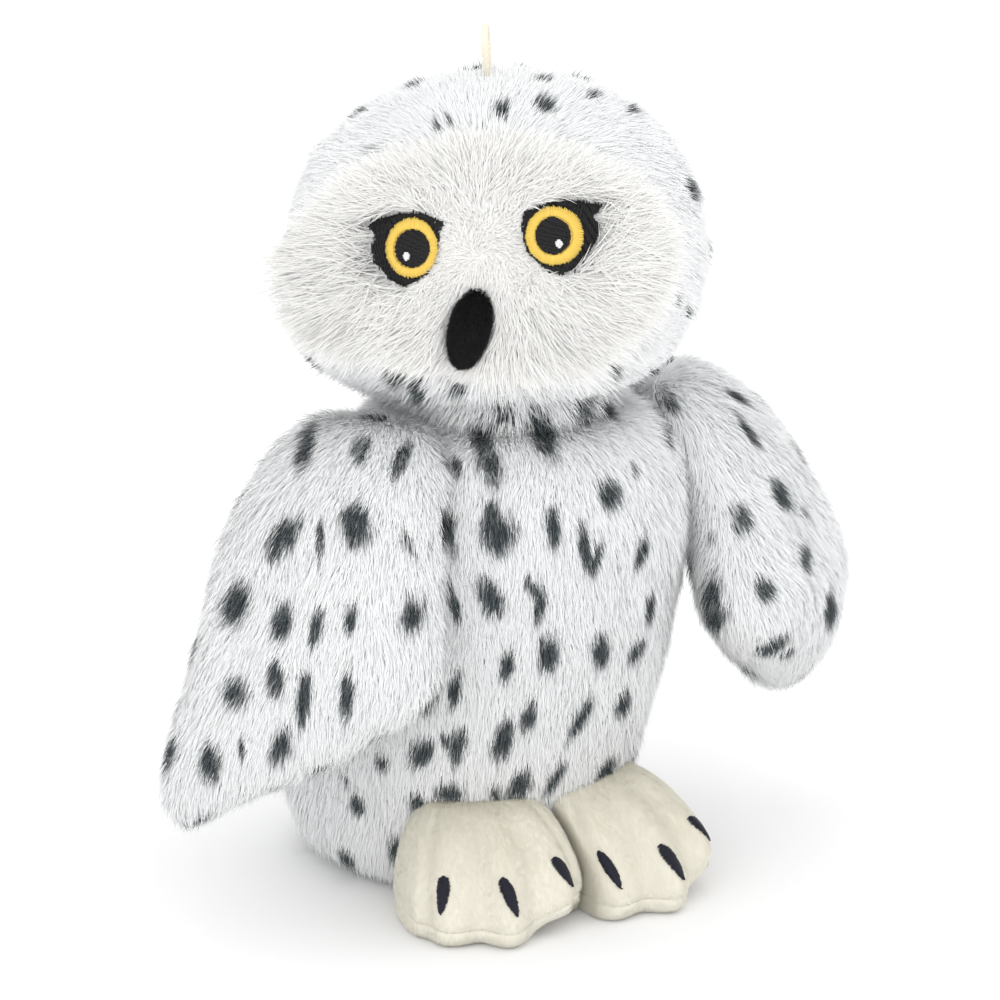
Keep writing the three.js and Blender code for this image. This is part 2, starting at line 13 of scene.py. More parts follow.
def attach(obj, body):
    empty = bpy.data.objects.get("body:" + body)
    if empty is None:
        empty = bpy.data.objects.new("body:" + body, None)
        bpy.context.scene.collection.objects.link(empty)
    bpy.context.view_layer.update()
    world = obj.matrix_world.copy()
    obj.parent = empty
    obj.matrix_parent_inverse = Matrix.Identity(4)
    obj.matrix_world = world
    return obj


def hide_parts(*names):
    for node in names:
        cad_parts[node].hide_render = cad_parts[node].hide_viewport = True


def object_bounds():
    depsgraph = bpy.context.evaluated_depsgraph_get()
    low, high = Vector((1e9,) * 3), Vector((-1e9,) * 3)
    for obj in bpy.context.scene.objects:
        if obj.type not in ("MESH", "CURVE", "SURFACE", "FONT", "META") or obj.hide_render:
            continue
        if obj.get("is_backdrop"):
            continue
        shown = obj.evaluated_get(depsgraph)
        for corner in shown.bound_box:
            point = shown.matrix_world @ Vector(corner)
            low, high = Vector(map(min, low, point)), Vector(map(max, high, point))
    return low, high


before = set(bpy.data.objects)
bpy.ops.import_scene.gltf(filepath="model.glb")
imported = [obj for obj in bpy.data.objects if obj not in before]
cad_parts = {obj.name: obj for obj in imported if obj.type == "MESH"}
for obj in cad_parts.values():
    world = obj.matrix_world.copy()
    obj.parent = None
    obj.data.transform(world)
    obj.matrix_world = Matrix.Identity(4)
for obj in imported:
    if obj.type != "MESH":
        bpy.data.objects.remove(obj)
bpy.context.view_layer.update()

MM = 0.001

# The room: a camera that stands well back with a long lens, as for a catalogue picture, a white
# ground that keeps the toy's soft shadow, a bright even sky and three large soft lamps.
VIEW_TURN = math.radians(-32)
VIEW_RISE = math.radians(17)
VIEW_DISTANCE = 1500 * MM
PICTURE_SIDE = 275 * MM
PICTURE_PIXELS = 1000
VIEW_AIM = Vector((1.9, -1.2, 105.9)) * MM
SKY_LIGHT = 1.41
GROUND_GLOW = 0.02

view_back = Vector((
    math.sin(VIEW_TURN) * math.cos(VIEW_RISE),
    -math.cos(VIEW_TURN) * math.cos(VIEW_RISE),
    math.sin(VIEW_RISE),
))
view_right = Vector((math.cos(VIEW_TURN), math.sin(VIEW_TURN), 0))
view_up = view_back.cross(view_right)
view_point = VIEW_AIM + view_back * VIEW_DISTANCE

bpy.context.scene.view_settings.view_transform = "Standard"
bpy.ops.object.camera_add(location=view_point)
camera = bpy.context.object
camera.rotation_euler = (-view_back).to_track_quat("-Z", "Y").to_euler()
camera.data.sensor_width = 36
camera.data.lens = 36 * VIEW_DISTANCE / PICTURE_SIDE
camera.data.clip_start = 0.05
camera.data.clip_end = 20
bpy.context.scene.camera = camera


class Wire:
    """A shader socket that takes part in Python sums; each sum adds its Math node."""

    def __init__(self, finish, socket):
        self.finish = finish
        self.socket = socket

    def sum(self, operation, first, second):
        return self.finish.node("ShaderNodeMath", {"operation": operation}, {0: first, 1: second})

    def __add__(self, other):
        return self.sum("ADD", self, other)

    __radd__ = __add__

    def __mul__(self, other):
        return self.sum("MULTIPLY", self, other)

    __rmul__ = __mul__

    def __sub__(self, other):
        return self.sum("SUBTRACT", self, other)

    def __rsub__(self, other):
        return self.sum("SUBTRACT", other, self)

    def __pow__(self, other):
        return self.sum("POWER", self, other)


class Finish:
    """A material, or the sky, and the nodes that are added to it."""

    def __init__(self, name, sky=None):
        self.material = sky or bpy.data.materials.new(name)
        self.material.use_nodes = True
        self.tree = self.material.node_tree
        self.tree.nodes.clear()

    def node(self, kind, settings=None, inputs=None, output=0):
        made = self.tree.nodes.new(kind)
        for key, value in (settings or {}).items():
            setattr(made, key, value)
        for key, value in (inputs or {}).items():
            if isinstance(value, Wire):
                self.tree.links.new(value.socket, made.inputs[key])
            else:
                made.inputs[key].default_value = value
        return Wire(self, made.outputs[output])

    def mix(self, share, first, second):
        """A colour between two colours, by a share from 0 to 1."""
        settings = {"data_type": "RGBA"}
        return self.node("ShaderNodeMix", settings, {0: share, 6: first, 7: second}, output=2)

    def ramp(self, value, low, high):
        """0 below low, 1 above high and smooth between."""
        settings = {"interpolation_type": "SMOOTHSTEP"}
        return self.node("ShaderNodeMapRange", settings, {0: value, 1: low, 2: high})

    def noise(self, scale, detail=2.0, where=None):
        """Noise on object coordinates; scale is in grains per metre."""
        place = where or self.node("ShaderNodeTexCoord", output="Object")
        return self.node("ShaderNodeTexNoise", {}, {"Vector": place, "Scale": scale, "Detail": detail})

    def attribute(self, name):
        return self.node("ShaderNodeAttribute", {"attribute_name": name}, output="Fac")

    def surface(self, shader, output="ShaderNodeOutputMaterial"):
        made = self.tree.nodes.new(output)
        self.tree.links.new(shader.socket, made.inputs["Surface"])
        return self.material


def colour(red, green, blue):
    return (red, green, blue, 1.0)


def principled(finish, base, roughness, bump=None, bump_height=0.0, **more):
    """The usual surface: a base colour, a roughness and, where given, a bump of some depth in mm."""
    inputs = {"Base Color": base, "Roughness": roughness}
    inputs.update({key.replace("_", " "): value for key, value in more.items()})
    if bump is not None:
        heights = {"Height": bump, "Strength": 1.0, "Distance": bump_height * MM}
        inputs["Normal"] = finish.node("ShaderNodeBump", {}, heights)
    return finish.surface(finish.node("ShaderNodeBsdfPrincipled", {}, inputs))


def looked_at(finish):
    """1 where the camera sees this straight, mirrored or through glass, and 0 where it only lights."""
    rays = ("Is Camera Ray", "Is Glossy Ray", "Is Transmission Ray")
    straight, mirrored, through = (finish.node("ShaderNodeLightPath", output=ray) for ray in rays)
    return finish.ramp(straight + mirrored + through, 0.0, 1.0)


def ground_finish():
    """White card that keeps the toy's shadow; the camera sees it a little brighter than it is lit."""
    finish = Finish("white_card")
    card = finish.node("ShaderNodeBsdfDiffuse", {}, {"Color": colour(0.86, 0.86, 0.86)})
    seen = finish.node("ShaderNodeBsdfDiffuse", {}, {"Color": colour(0.95, 0.95, 0.95)})
    glow = finish.node("ShaderNodeEmission", {}, {"Color": colour(1, 1, 1), "Strength": GROUND_GLOW})
    lit = finish.node("ShaderNodeAddShader", {}, {0: seen, 1: glow})
    return finish.surface(finish.node("ShaderNodeMixShader", {}, {0: looked_at(finish), 1: card, 2: lit}))


bpy.ops.mesh.primitive_plane_add(size=12)
ground = bpy.context.object
ground.name = "ground"
ground.data.materials.append(ground_finish())
ground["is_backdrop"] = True

sky = bpy.data.worlds.new("sky")
bpy.context.scene.world = sky
sky_finish = Finish("sky", sky)
sky_seen = looked_at(sky_finish)
sky_strength = sky_seen + (1.0 - sky_seen) * SKY_LIGHT
sky_glow = sky_finish.node("ShaderNodeBackground", {}, {"Strength": sky_strength})
sky_finish.surface(sky_glow, "ShaderNodeOutputWorld")


def lamp(name, place, power, size):
    """A square soft lamp that faces the toy."""
    spot = Vector(place)
    bpy.ops.object.light_add(type="AREA", location=spot)
    made = bpy.context.object
    made.name = name
    made.rotation_euler = (spot - VIEW_AIM).to_track_quat("Z", "Y").to_euler()
    made.data.energy = power
    made.data.size = size


lamp("lamp_over_left", (-0.85, -0.95, 0.55), 4.9, 1.1)
lamp("lamp_over_right", (0.95, -0.8, 0.4), 2.1, 1.0)
lamp("lamp_above", (0.1, 0.2, 1.2), 0.4, 0.9)


# Frames of the parts: the head sits turned and tipped on the neck, and each limb has its own frame.
NECK_HEIGHT = 139
HEAD_TURN = -36
HEAD_BACK_TILT = 3
HEAD_SIDE_TILT = 3.2
NECK_SET_BACK = -6.533


def turned(angle, axis):
    return Matrix.Rotation(math.radians(angle), 4, axis)


head_frame = (
    Matrix.Translation((0, NECK_SET_BACK * MM, NECK_HEIGHT * MM))
    @ turned(HEAD_TURN, "Z")
    @ turned(-HEAD_BACK_TILT, "X")
    @ turned(-HEAD_SIDE_TILT, "Y")
)


# Hanging loop: a plied cotton cord, both ends sewn into the crown seam, standing up in the plane
# that runs from face to nape. Three plies wind round each other along the same route as the solid.
HEAD_RIM = 4
HEAD_HEIGHT = 80
SEAT_GAP = 0.4
CORD_DIAMETER = 1.9
LOOP_HEIGHT = 15.5
LOOP_HALF_SPAN = 4
PLY_LAY = 4.6
PLY_COUNT = 3

loop_crown = HEAD_RIM + HEAD_HEIGHT + SEAT_GAP
loop_side = [
    (0.7, loop_crown),
    (0.7, loop_crown + CORD_DIAMETER),
    (0.95, loop_crown + 0.42 * LOOP_HEIGHT),
    (1.1, loop_crown + 0.72 * LOOP_HEIGHT),
    (0.55, loop_crown + 0.95 * LOOP_HEIGHT),
]
loop_points = [(-share * LOOP_HALF_SPAN, z) for share, z in loop_side]
loop_points += [(0, loop_crown + LOOP_HEIGHT)]
loop_points += [(share * LOOP_HALF_SPAN, z) for share, z in reversed(loop_side)]


def smooth_route(points, steps):
    """Points along a curve that passes smoothly through the given ones."""
    rows = np.array(points, float)
    rows = np.vstack([2 * rows[0] - rows[1], rows, 2 * rows[-1] - rows[-2]])
    route = []
    for before, here, there, after in zip(rows, rows[1:], rows[2:], rows[3:]):
        for t in np.linspace(0, 1, steps, endpoint=False):
            route.append(0.5 * (
                2 * here
                + (there - before) * t
                + (2 * before - 5 * here + 4 * there - after) * t**2
                + (3 * here - before - 3 * there + after) * t**3
            ))
    route.append(rows[-2])
    return np.array(route)


def new_piece(name, points, faces, material):
    """A mesh object from points in metres."""
    mesh = bpy.data.meshes.new(name)
    mesh.from_pydata([tuple(p) for p in points], [], faces)
    mesh.materials.append(material)
    mesh.polygons.foreach_set("use_smooth", [True] * len(mesh.polygons))
    piece = bpy.data.objects.new(name, mesh)
    bpy.context.scene.collection.objects.link(piece)
    return piece


def plied_cord(name, route, material):
    """Closed tube whose section has one lobe for each ply and turns along the cord."""
    sides = 24
    steps = np.linalg.norm(np.diff(route, axis=0), axis=1)
    travelled = np.concatenate([[0], np.cumsum(steps)])
    points = []
    for place, along, travel in zip(route, np.gradient(route, axis=0), travelled):
        along = along / np.linalg.norm(along)
        out = np.array([1.0, 0, 0])
        beside = np.cross(along, out)
        for k in range(sides):
            angle = 2 * math.pi * k / sides
            lobe = abs(math.cos(PLY_COUNT / 2 * (angle - 2 * math.pi * travel / PLY_LAY)))
            radius = CORD_DIAMETER / 2 * (0.74 + 0.26 * lobe**0.6)
            points.append(place + radius * (math.cos(angle) * out + math.sin(angle) * beside))
    faces = []
    for r in range(len(route) - 1):
        for k in range(sides):
            here, there = r * sides + k, r * sides + (k + 1) % sides
            faces.append((here, here + sides, there + sides, there))
    faces.append(tuple(range(sides)))
    faces.append(tuple(reversed(range((len(route) - 1) * sides, len(route) * sides))))
    return new_piece(name, np.array(points) * MM, faces, material)


def cord_finish():
    finish = Finish("cream_cord")
    fluff = finish.noise(2600, 3)
    base = finish.mix(fluff, colour(0.80, 0.74, 0.58), colour(0.93, 0.89, 0.76))
    return principled(finish, base, 0.85, fluff, 0.12)


loop_route = np.array([(0, y, z) for y, z in smooth_route(loop_points, 9)])
hang_loop = plied_cord("hang_loop_cord", loop_route, cord_finish())
hang_loop.data.transform(head_frame)
loop_path = [head_frame @ (Vector(p) * MM) for p in loop_route]
loop_length = sum((b - a).length for a, b in zip(loop_path, loop_path[1:]))
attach(hang_loop, "head")
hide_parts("hang_loop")


# Torso cover: four panels of spotted plush, a front, two backs and a base, sewn with their right sides
# together and stuffed until they are round. The form that they take is drawn out of a disc and made
# smooth, and the panels are cut from it along their seams.
TORSO_HEIGHT = 135
TORSO_HALF_WIDTH = 52.5
TORSO_FRONT = 48
TORSO_BACK = 56
BASE_SET_BACK = 12
LEAN_HEIGHT = 90
BASE_SEAM_HEIGHT = 5
NECK_OPENING = 30
FABRIC_THICKNESS = 1.5
SEAM_GAP = 0.3
TORSO_ROWS = [
    (0, 0.05, -0.1, 0.31),
    (0.04, 0.54, 0.33, 0.75),
    (0.14, 0.78, 0.34, 1),
    (0.31, 0.83, 0.62, 0.96),
    (0.51, 0.94, 0.9, 0.8),
    (0.68, 1, 1, 0.64),
    (0.83, 0.91, 0.93, 0.52),
    (0.94, 0.6, 0.67, 0.36),
    (0.985, 0.27, 0.33, 0.15),
    (1, 0, 0, 0),
]
TORSO_RINGS = [0, 0.018, 0.055, 0.12, 0.22, 0.36, 0.51, 0.66, 0.79, 0.89, 0.955, 0.987, 1]
SMOOTHING_SHRINK = 1.011


def profile_at(rows, at):
    """The other columns of the rows at a value of the first, on a smooth curve."""
    table = np.array(rows, float)
    spots, values = table[:, 0], table[:, 1:]
    at = min(max(at, spots[0]), spots[-1])
    k = max(1, int(np.searchsorted(spots, at))) - 1
    last = len(spots) - 1

    def slope(i):
        before, after = max(0, i - 1), min(last, i + 1)
        return (values[after] - values[before]) / (spots[after] - spots[before])

    span = spots[k + 1] - spots[k]
    t = (at - spots[k]) / span
    step = t * t * (3 - 2 * t)
    bend = t * (1 - t) ** 2 * span * slope(k) + t * t * (t - 1) * span * slope(k + 1)
    return values[k] + step * (values[k + 1] - values[k]) + bend


def apply_modifier(piece, kind, **settings):
    """Adds a modifier with these settings and applies it."""
    modifier = piece.modifiers.new(kind.lower(), kind)
    for key, value in settings.items():
        setattr(modifier, key, value)
    bpy.context.view_layer.objects.active = piece
    bpy.ops.object.modifier_apply(modifier=modifier.name)


def lofted(name, rows, sides=24, smoothing=2):
    """Closed form drawn out of a disc by rows of half width, half depth, middle x and y, and height."""
    bpy.ops.object.select_all(action="DESELECT")
    bpy.ops.mesh.primitive_circle_add(vertices=sides, radius=MM, fill_type="NGON")
    form = bpy.context.object
    form.name = name
    wide, deep, x, y, z = rows[0]
    bpy.ops.object.mode_set(mode="EDIT")
    bpy.ops.mesh.select_all(action="SELECT")
    bpy.ops.transform.resize(value=(wide, deep, 1), center_override=(0, 0, 0))
    bpy.ops.transform.translate(value=(x * MM, y * MM, z * MM))
    for before, row in zip(rows, rows[1:]):
        shift = [(now - then) * MM for now, then in zip(row[2:], before[2:])]
        bpy.ops.mesh.extrude_region_move(TRANSFORM_OT_translate={"value": shift})
        size = (row[0] / before[0], row[1] / before[1], 1)
        bpy.ops.transform.resize(value=size, center_override=[v * MM for v in row[2:]])
    bpy.ops.mesh.select_all(action="SELECT")
    bpy.ops.mesh.normals_make_consistent(inside=False)
    bpy.ops.object.mode_set(mode="OBJECT")
    if smoothing:
        apply_modifier(form, "SUBSURF", levels=smoothing, render_levels=smoothing)
    bpy.ops.object.shade_smooth()
    return form


def lumpy(form, height, grain, seed):
    """Soft unevenness of the filling under the cloth, in mm."""
    clouds = bpy.data.textures.new(form.name + "_lumps", "CLOUDS")
    clouds.noise_scale = grain * MM
    clouds.noise_depth = 1
    form.data.transform(Matrix.Translation(Vector((seed, 0, 0))))
    apply_modifier(form, "DISPLACE", texture=clouds, strength=height * MM, mid_level=0.5)
    form.data.transform(Matrix.Translation(Vector((-seed, 0, 0))))
    form.data.update()


def copied(piece, name):
    """A copy of a piece with its own mesh."""
    twin = piece.copy()
    twin.data = piece.data.copy()
    twin.name = name
    twin.data.name = name
    bpy.context.scene.collection.objects.link(twin)
    return twin


def cut_away(piece, place, normal, close=False):
    """Cuts a piece at a plane, in mm, and drops what lies on the normal's side."""
    bpy.ops.object.select_all(action="DESELECT")
    bpy.context.view_layer.objects.active = piece
    piece.select_set(True)
    bpy.ops.object.mode_set(mode="EDIT")
    bpy.ops.mesh.select_all(action="SELECT")
    where = [v * MM for v in place]
    bpy.ops.mesh.bisect(plane_co=where, plane_no=normal, clear_outer=True, use_fill=close)
    bpy.ops.object.mode_set(mode="OBJECT")


def backing(piece, material, thickness=FABRIC_THICKNESS):
    """Gives a cut panel the thickness of its cloth, inwards and not below the ground, and its material."""
    apply_modifier(piece, "SOLIDIFY", thickness=thickness * MM, offset=-1)
    for vertex in piece.data.vertices:
        vertex.co.z = max(vertex.co.z, 0.1 * MM)
    piece.data.materials.clear()
    piece.data.materials.append(material)


def tree_of(piece):
    """The piece's surface for finding hits and nearest points."""
    piece.data.update()
    points = [v.co.copy() for v in piece.data.vertices]
    return BVHTree.FromPolygons(points, [tuple(p.vertices) for p in piece.data.polygons])


def knit_finish(name, light, dark):
    """The knitted back of plush, which shows only where the pile parts: fine courses of loops."""
    finish = Finish(name)
    place = finish.node("ShaderNodeTexCoord", output="Object")
    courses = finish.node("ShaderNodeTexWave", {"bands_direction": "Z"}, {
        "Vector": place, "Scale": 260.0, "Distortion": 1.5, "Detail": 2.0, "Detail Scale": 2.0,
    }, output=1)
    grain = finish.noise(900, 3)
    base = finish.mix(grain, dark, light)
    return principled(finish, base, 0.95, courses * 0.6 + grain, 0.15, Specular_IOR_Level=0.15)


torso_rows = []
for share in TORSO_RINGS:
    sizes = (TORSO_HALF_WIDTH, TORSO_FRONT, TORSO_BACK)
    values = profile_at(TORSO_ROWS, share)
    wide, front, back = (NECK_OPENING + (s - NECK_OPENING) * v for s, v in zip(sizes, values))
    height = share * TORSO_HEIGHT
    middle = BASE_SET_BACK * (1 - height / LEAN_HEIGHT) + (back - front) / 2
    grown = SMOOTHING_SHRINK
    torso_rows.append((wide * grown, (front + back) / 2 * grown, 0, middle, height))

torso_form = lofted("torso_form", torso_rows)
lumpy(torso_form, 1.6, 26, 3)
for vertex in torso_form.data.vertices:
    vertex.co.z = min(max(vertex.co.z, 0.2 * MM), TORSO_HEIGHT * MM)
torso_tree = tree_of(torso_form)
spotted_backing = knit_finish("plush_back", colour(0.86, 0.87, 0.87), colour(0.70, 0.71, 0.72))

half_seam = SEAM_GAP / 2
above_base = BASE_SEAM_HEIGHT + SEAM_GAP
torso_cuts = {
    "base": [((0, 0, BASE_SEAM_HEIGHT), (0, 0, 1))],
    "front": [((0, 0, above_base), (0, 0, -1)), ((0, -half_seam, 0), (0, 1, 0))],
    "back_left": [
        ((0, 0, above_base), (0, 0, -1)),
        ((0, half_seam, 0), (0, -1, 0)),
        ((half_seam, 0, 0), (-1, 0, 0)),
    ],
    "back_right": [
        ((0, 0, above_base), (0, 0, -1)),
        ((0, half_seam, 0), (0, -1, 0)),
        ((-half_seam, 0, 0), (1, 0, 0)),
    ],
}

for name, cuts in torso_cuts.items():
    panel = copied(torso_form, f"torso_{name}_cloth")
    for place, normal in cuts:
        cut_away(panel, place, normal)
    backing(panel, spotted_backing)
    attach(panel, "torso")
    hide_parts(f"torso_{name}_panel")


# Fillings: loose polyester fibre pushed into every cover until it is firm. Each takes the form of the
# space inside its cover, with a soft uneven surface that stays clear of the cloth.
FILLINGS = {
    "torso_filling_front": "torso",
    "torso_filling_back": "torso",
    "neck_filling": "neck",
    "head_filling": "head",
    "beak_filling": "head",
    "wing_left_filling": "wing_left",
    "wing_right_filling": "wing_right",
    "foot_left_filling": "foot_left",
    "foot_right_filling": "foot_right",
}
FIBRE_GRAIN = 2.6
BEAK_GRAIN = 1.2
FIBRE_LUMPS = 0.9


def fibre_finish():
    """White fibre in loose swirls."""
    finish = Finish("white_fibre")
    swirl = finish.noise(240, 4)
    strands = finish.noise(1900, 2)
    base = finish.mix(swirl, colour(0.72, 0.73, 0.74), colour(0.90, 0.90, 0.89))
    return principled(finish, base, 0.95, swirl * 0.7 + strands * 0.3, 0.8)


def held_in(piece, tree, gap):
    """Keeps a filling inside its cover, clear of the surface by a gap in mm."""
    for vertex in piece.data.vertices:
        spot, normal, _, _ = tree.find_nearest(vertex.co)
        if (vertex.co - spot).dot(normal) > -gap * MM:
            vertex.co = spot - normal * gap * MM
    piece.data.update()


white_fibre = fibre_finish()
for node, body in FILLINGS.items():
    stuffing = copied(bpy.data.objects[node], node + "_fibre")
    bpy.ops.object.select_all(action="DESELECT")
    bpy.context.view_layer.objects.active = stuffing
    stuffing.select_set(True)
    apply_modifier(stuffing, "WELD", merge_threshold=0.02 * MM)
    grain = BEAK_GRAIN if node.startswith("beak") else FIBRE_GRAIN
    apply_modifier(stuffing, "REMESH", mode="VOXEL", voxel_size=grain * MM, use_smooth_shade=True)
    apply_modifier(stuffing, "SMOOTH", factor=0.5, iterations=3)
    clouds = bpy.data.textures.new(stuffing.name + "_lumps", "CLOUDS")
    clouds.noise_scale = 7 * MM
    lumps = FIBRE_LUMPS * grain / FIBRE_GRAIN
    apply_modifier(stuffing, "DISPLACE", texture=clouds, strength=lumps * MM, mid_level=1.0)
    stuffing.data.materials.clear()
    stuffing.data.materials.append(white_fibre)
    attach(stuffing, body)
    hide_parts(node)


# Squeaker: a blown vinyl bulb with a moulded reed pressed into its socket, loose in the belly filling.
def moulded_finish(name, base, roughness, grain):
    finish = Finish(name)
    mottle = finish.noise(grain, 3)
    shade = finish.mix(mottle * 0.5, base, colour(*(0.8 * v for v in base[:3])))
    return principled(finish, shade, roughness, mottle, 0.05, Coat_Weight=0.15)


def refinish(node, material):
    """Gives a carried-over solid this material."""
    bpy.data.objects[node].data.materials.clear()
    bpy.data.objects[node].data.materials.append(material)


refinish("squeaker_bladder", moulded_finish("clear_vinyl", colour(0.68, 0.70, 0.69), 0.35, 180))
refinish("squeaker_reed", moulded_finish("white_plastic", colour(0.82, 0.82, 0.78), 0.4, 300))


# Head cover: left and right panels that meet over the crown, a panel under the head that is sewn to
# the neck, and in front the oval face panel, whose pile is several times as long.
HEAD_WIDEST = 35
HEAD_HALF_WIDTH = 55
HEAD_FRONT = 46
HEAD_BACK = 50
HEAD_ROUNDNESS = 2.2
CROWN_ANGLE = math.radians(86)
UNDER_SEAM_HEIGHT = 9
FACE_HALF_WIDTH = 47
FACE_HALF_HEIGHT = 33
FACE_CENTRE = 36
JAW_SWELL = 5
CROWN_SWELL = 1.6


def head_section(height):
    """Half width, front and back of the head at a height above its rim."""
    full = np.array([HEAD_HALF_WIDTH, HEAD_FRONT, HEAD_BACK], float)
    if height < HEAD_WIDEST:
        swell = math.sqrt(max(0, 1 - (1 - height / HEAD_WIDEST) ** 2))
        return NECK_OPENING + (full - NECK_OPENING) * swell
    climb = min(1, (height - HEAD_WIDEST) / (HEAD_HEIGHT - HEAD_WIDEST))
    return full * (1 - climb**HEAD_ROUNDNESS) ** (1 / HEAD_ROUNDNESS)


head_heights = [HEAD_WIDEST * (1 - math.cos(k / 6 * math.pi / 2)) for k in range(7)]
head_heights += [
    HEAD_WIDEST + (HEAD_HEIGHT - HEAD_WIDEST) * math.sin(k / 7 * CROWN_ANGLE) for k in range(1, 8)
]
head_rows = []
for height in head_heights:
    wide, front, back = head_section(height) * SMOOTHING_SHRINK
    head_rows.append((wide, (front + back) / 2, 0, (back - front) / 2, HEAD_RIM + height))

head_form = lofted("head_form", head_rows, sides=28)
lumpy(head_form, 1.0, 24, 7)
for vertex in head_form.data.vertices:
    x, y, z = vertex.co / MM
    jaw = JAW_SWELL * min(1, max(0, -x - 8) / 22) * math.exp(-(((z - HEAD_RIM - 13) / 13) ** 2))
    crown = CROWN_SWELL * min(1, max(0, (z - HEAD_RIM - 50) / 30))
    vertex.co += Vector((x * jaw / 50, y * jaw / 50, crown)) * MM


def face_cutter(grow):
    """Oval block in front of the head that cuts the face panel out of the cover."""
    bpy.ops.mesh.primitive_cylinder_add(
        vertices=64, radius=MM, depth=0.2, location=(0, -0.1 - SEAM_GAP * MM, (HEAD_RIM + FACE_CENTRE) * MM),
        rotation=(math.pi / 2, 0, 0), scale=(FACE_HALF_WIDTH + grow, FACE_HALF_HEIGHT + grow, 1),
    )
    block = bpy.context.object
    bpy.ops.object.transform_apply()
    return block


head_cuts = {
    "under": [((0, 0, HEAD_RIM + UNDER_SEAM_HEIGHT), (0, 0, 1))],
    "left": [
        ((0, 0, HEAD_RIM + UNDER_SEAM_HEIGHT + SEAM_GAP), (0, 0, -1)),
        ((half_seam, 0, 0), (-1, 0, 0)),
    ],
    "right": [
        ((0, 0, HEAD_RIM + UNDER_SEAM_HEIGHT + SEAM_GAP), (0, 0, -1)),
        ((-half_seam, 0, 0), (1, 0, 0)),
    ],
    "face": [((0, 0, 0), (0, 1, 0))],
}
face_backing = knit_finish("face_back", colour(0.94, 0.93, 0.91), colour(0.88, 0.87, 0.84))
for name, cuts in head_cuts.items():
    panel = copied(head_form, f"head_{name}_cloth" if name != "face" else "face_cloth")
    for place, normal in cuts:
        cut_away(panel, place, normal)
    backing(panel, face_backing if name == "face" else spotted_backing)
    cutter = face_cutter(-SEAM_GAP if name == "face" else 0)
    operation = "INTERSECT" if name == "face" else "DIFFERENCE"
    apply_modifier(panel, "BOOLEAN", object=cutter, operation=operation, solver="EXACT")
    bpy.data.objects.remove(cutter)
    panel.data.transform(head_frame)
    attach(panel, "head")
    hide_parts("face_panel" if name == "face" else f"head_{name}_panel")
    "long_white_plush" if name == "face" else "spotted_plush"

head_form.data.transform(head_frame)
head_tree = tree_of(head_form)


# Neck: the narrow place between head and torso, where the filling runs through and only pile shows.
NECK_RADIUS = 24
SLEEVE_RADIUS = 25.2
SLEEVE_HALF_HEIGHT = 6.5
neck_place = Vector((0, NECK_SET_BACK, NECK_HEIGHT)) * MM
bpy.ops.object.select_all(action="DESELECT")
bpy.ops.mesh.primitive_cylinder_add(
    vertices=48, radius=SLEEVE_RADIUS * MM, depth=2 * SLEEVE_HALF_HEIGHT * MM,
    end_fill_type="NOTHING", location=neck_place,
)
neck_sleeve = bpy.context.object
neck_sleeve.name = "neck_sleeve"
bpy.ops.object.transform_apply()
bpy.ops.object.mode_set(mode="EDIT")
bpy.ops.mesh.select_all(action="SELECT")
bpy.ops.mesh.subdivide(number_cuts=3)
bpy.ops.object.mode_set(mode="OBJECT")
bpy.ops.object.shade_smooth()
neck_form = copied(neck_sleeve, "neck_form")
backing(neck_sleeve, spotted_backing, 0.8)
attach(neck_sleeve, "neck")


# Beak: a small cone of black plush, stuffed, and sewn to the face at its root.
BEAK_TOP = 32
BEAK_LENGTH = 22
BEAK_WIDTH = 13
BEAK_DEPTH = 12
BEAK_LEAN = 17
BEAK_FABRIC = 1.2
BEAK_ROWS = [
    (0, 0.28, 0.3),
    (0.08, 0.5, 0.6),
    (0.3, 0.82, 0.92),
    (0.5, 0.98, 1),
    (0.7, 0.93, 0.86),
    (0.86, 0.64, 0.6),
    (0.95, 0.38, 0.38),
    (1, 0.18, 0.2),
]
BEAK_SHIFT = (-1.3, 0, 1.6)
BEAK_SLIMMING = np.array([0.78, 0.9])
BEAK_RINGS = [0, 0.05, 0.15, 0.32, 0.5, 0.7, 0.88, 1]

beak_rows = []
for share in BEAK_RINGS:
    wide, deep = profile_at(BEAK_ROWS, share) * BEAK_SLIMMING
    height = BEAK_TOP - BEAK_LENGTH + share * BEAK_LENGTH
    front = head_section(height)[1]
    middle = -front - deep * BEAK_DEPTH / 2 + FABRIC_THICKNESS
    beak_rows.append((
        wide * BEAK_WIDTH / 2, deep * (BEAK_DEPTH + FABRIC_THICKNESS) / 2, 0, middle, HEAD_RIM + height,
    ))
beak_form = lofted("beak_form", beak_rows, sides=16)
beak_pivot = Vector((0, 0, HEAD_RIM + BEAK_TOP)) * MM
beak_turn = (
    Matrix.Translation(beak_pivot + Vector(BEAK_SHIFT) * MM)
    @ turned(BEAK_LEAN, "Y")
    @ Matrix.Translation(-beak_pivot)
)
beak_form.data.transform(head_frame @ beak_turn)


def pressed(piece, tree, gap):
    """Pushes what lies inside a neighbour out to its surface, as stuffed cloth gives way."""
    for vertex in piece.data.vertices:
        spot, normal, _, _ = tree.find_nearest(vertex.co)
        if (vertex.co - spot).dot(normal) < gap * MM:
            vertex.co = spot + normal * gap * MM
    piece.data.update()


pressed(beak_form, head_tree, 0.2)
beak_tree = tree_of(beak_form)
held_in(bpy.data.objects["beak_filling_fibre"], beak_tree, BEAK_FABRIC + 0.3)
black_backing = knit_finish("black_back", colour(0.02, 0.02, 0.022), colour(0.01, 0.01, 0.011))
beak_cloth = copied(beak_form, "beak_cloth")
backing(beak_cloth, black_backing, BEAK_FABRIC)
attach(beak_cloth, "head")
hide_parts("beak_cover")


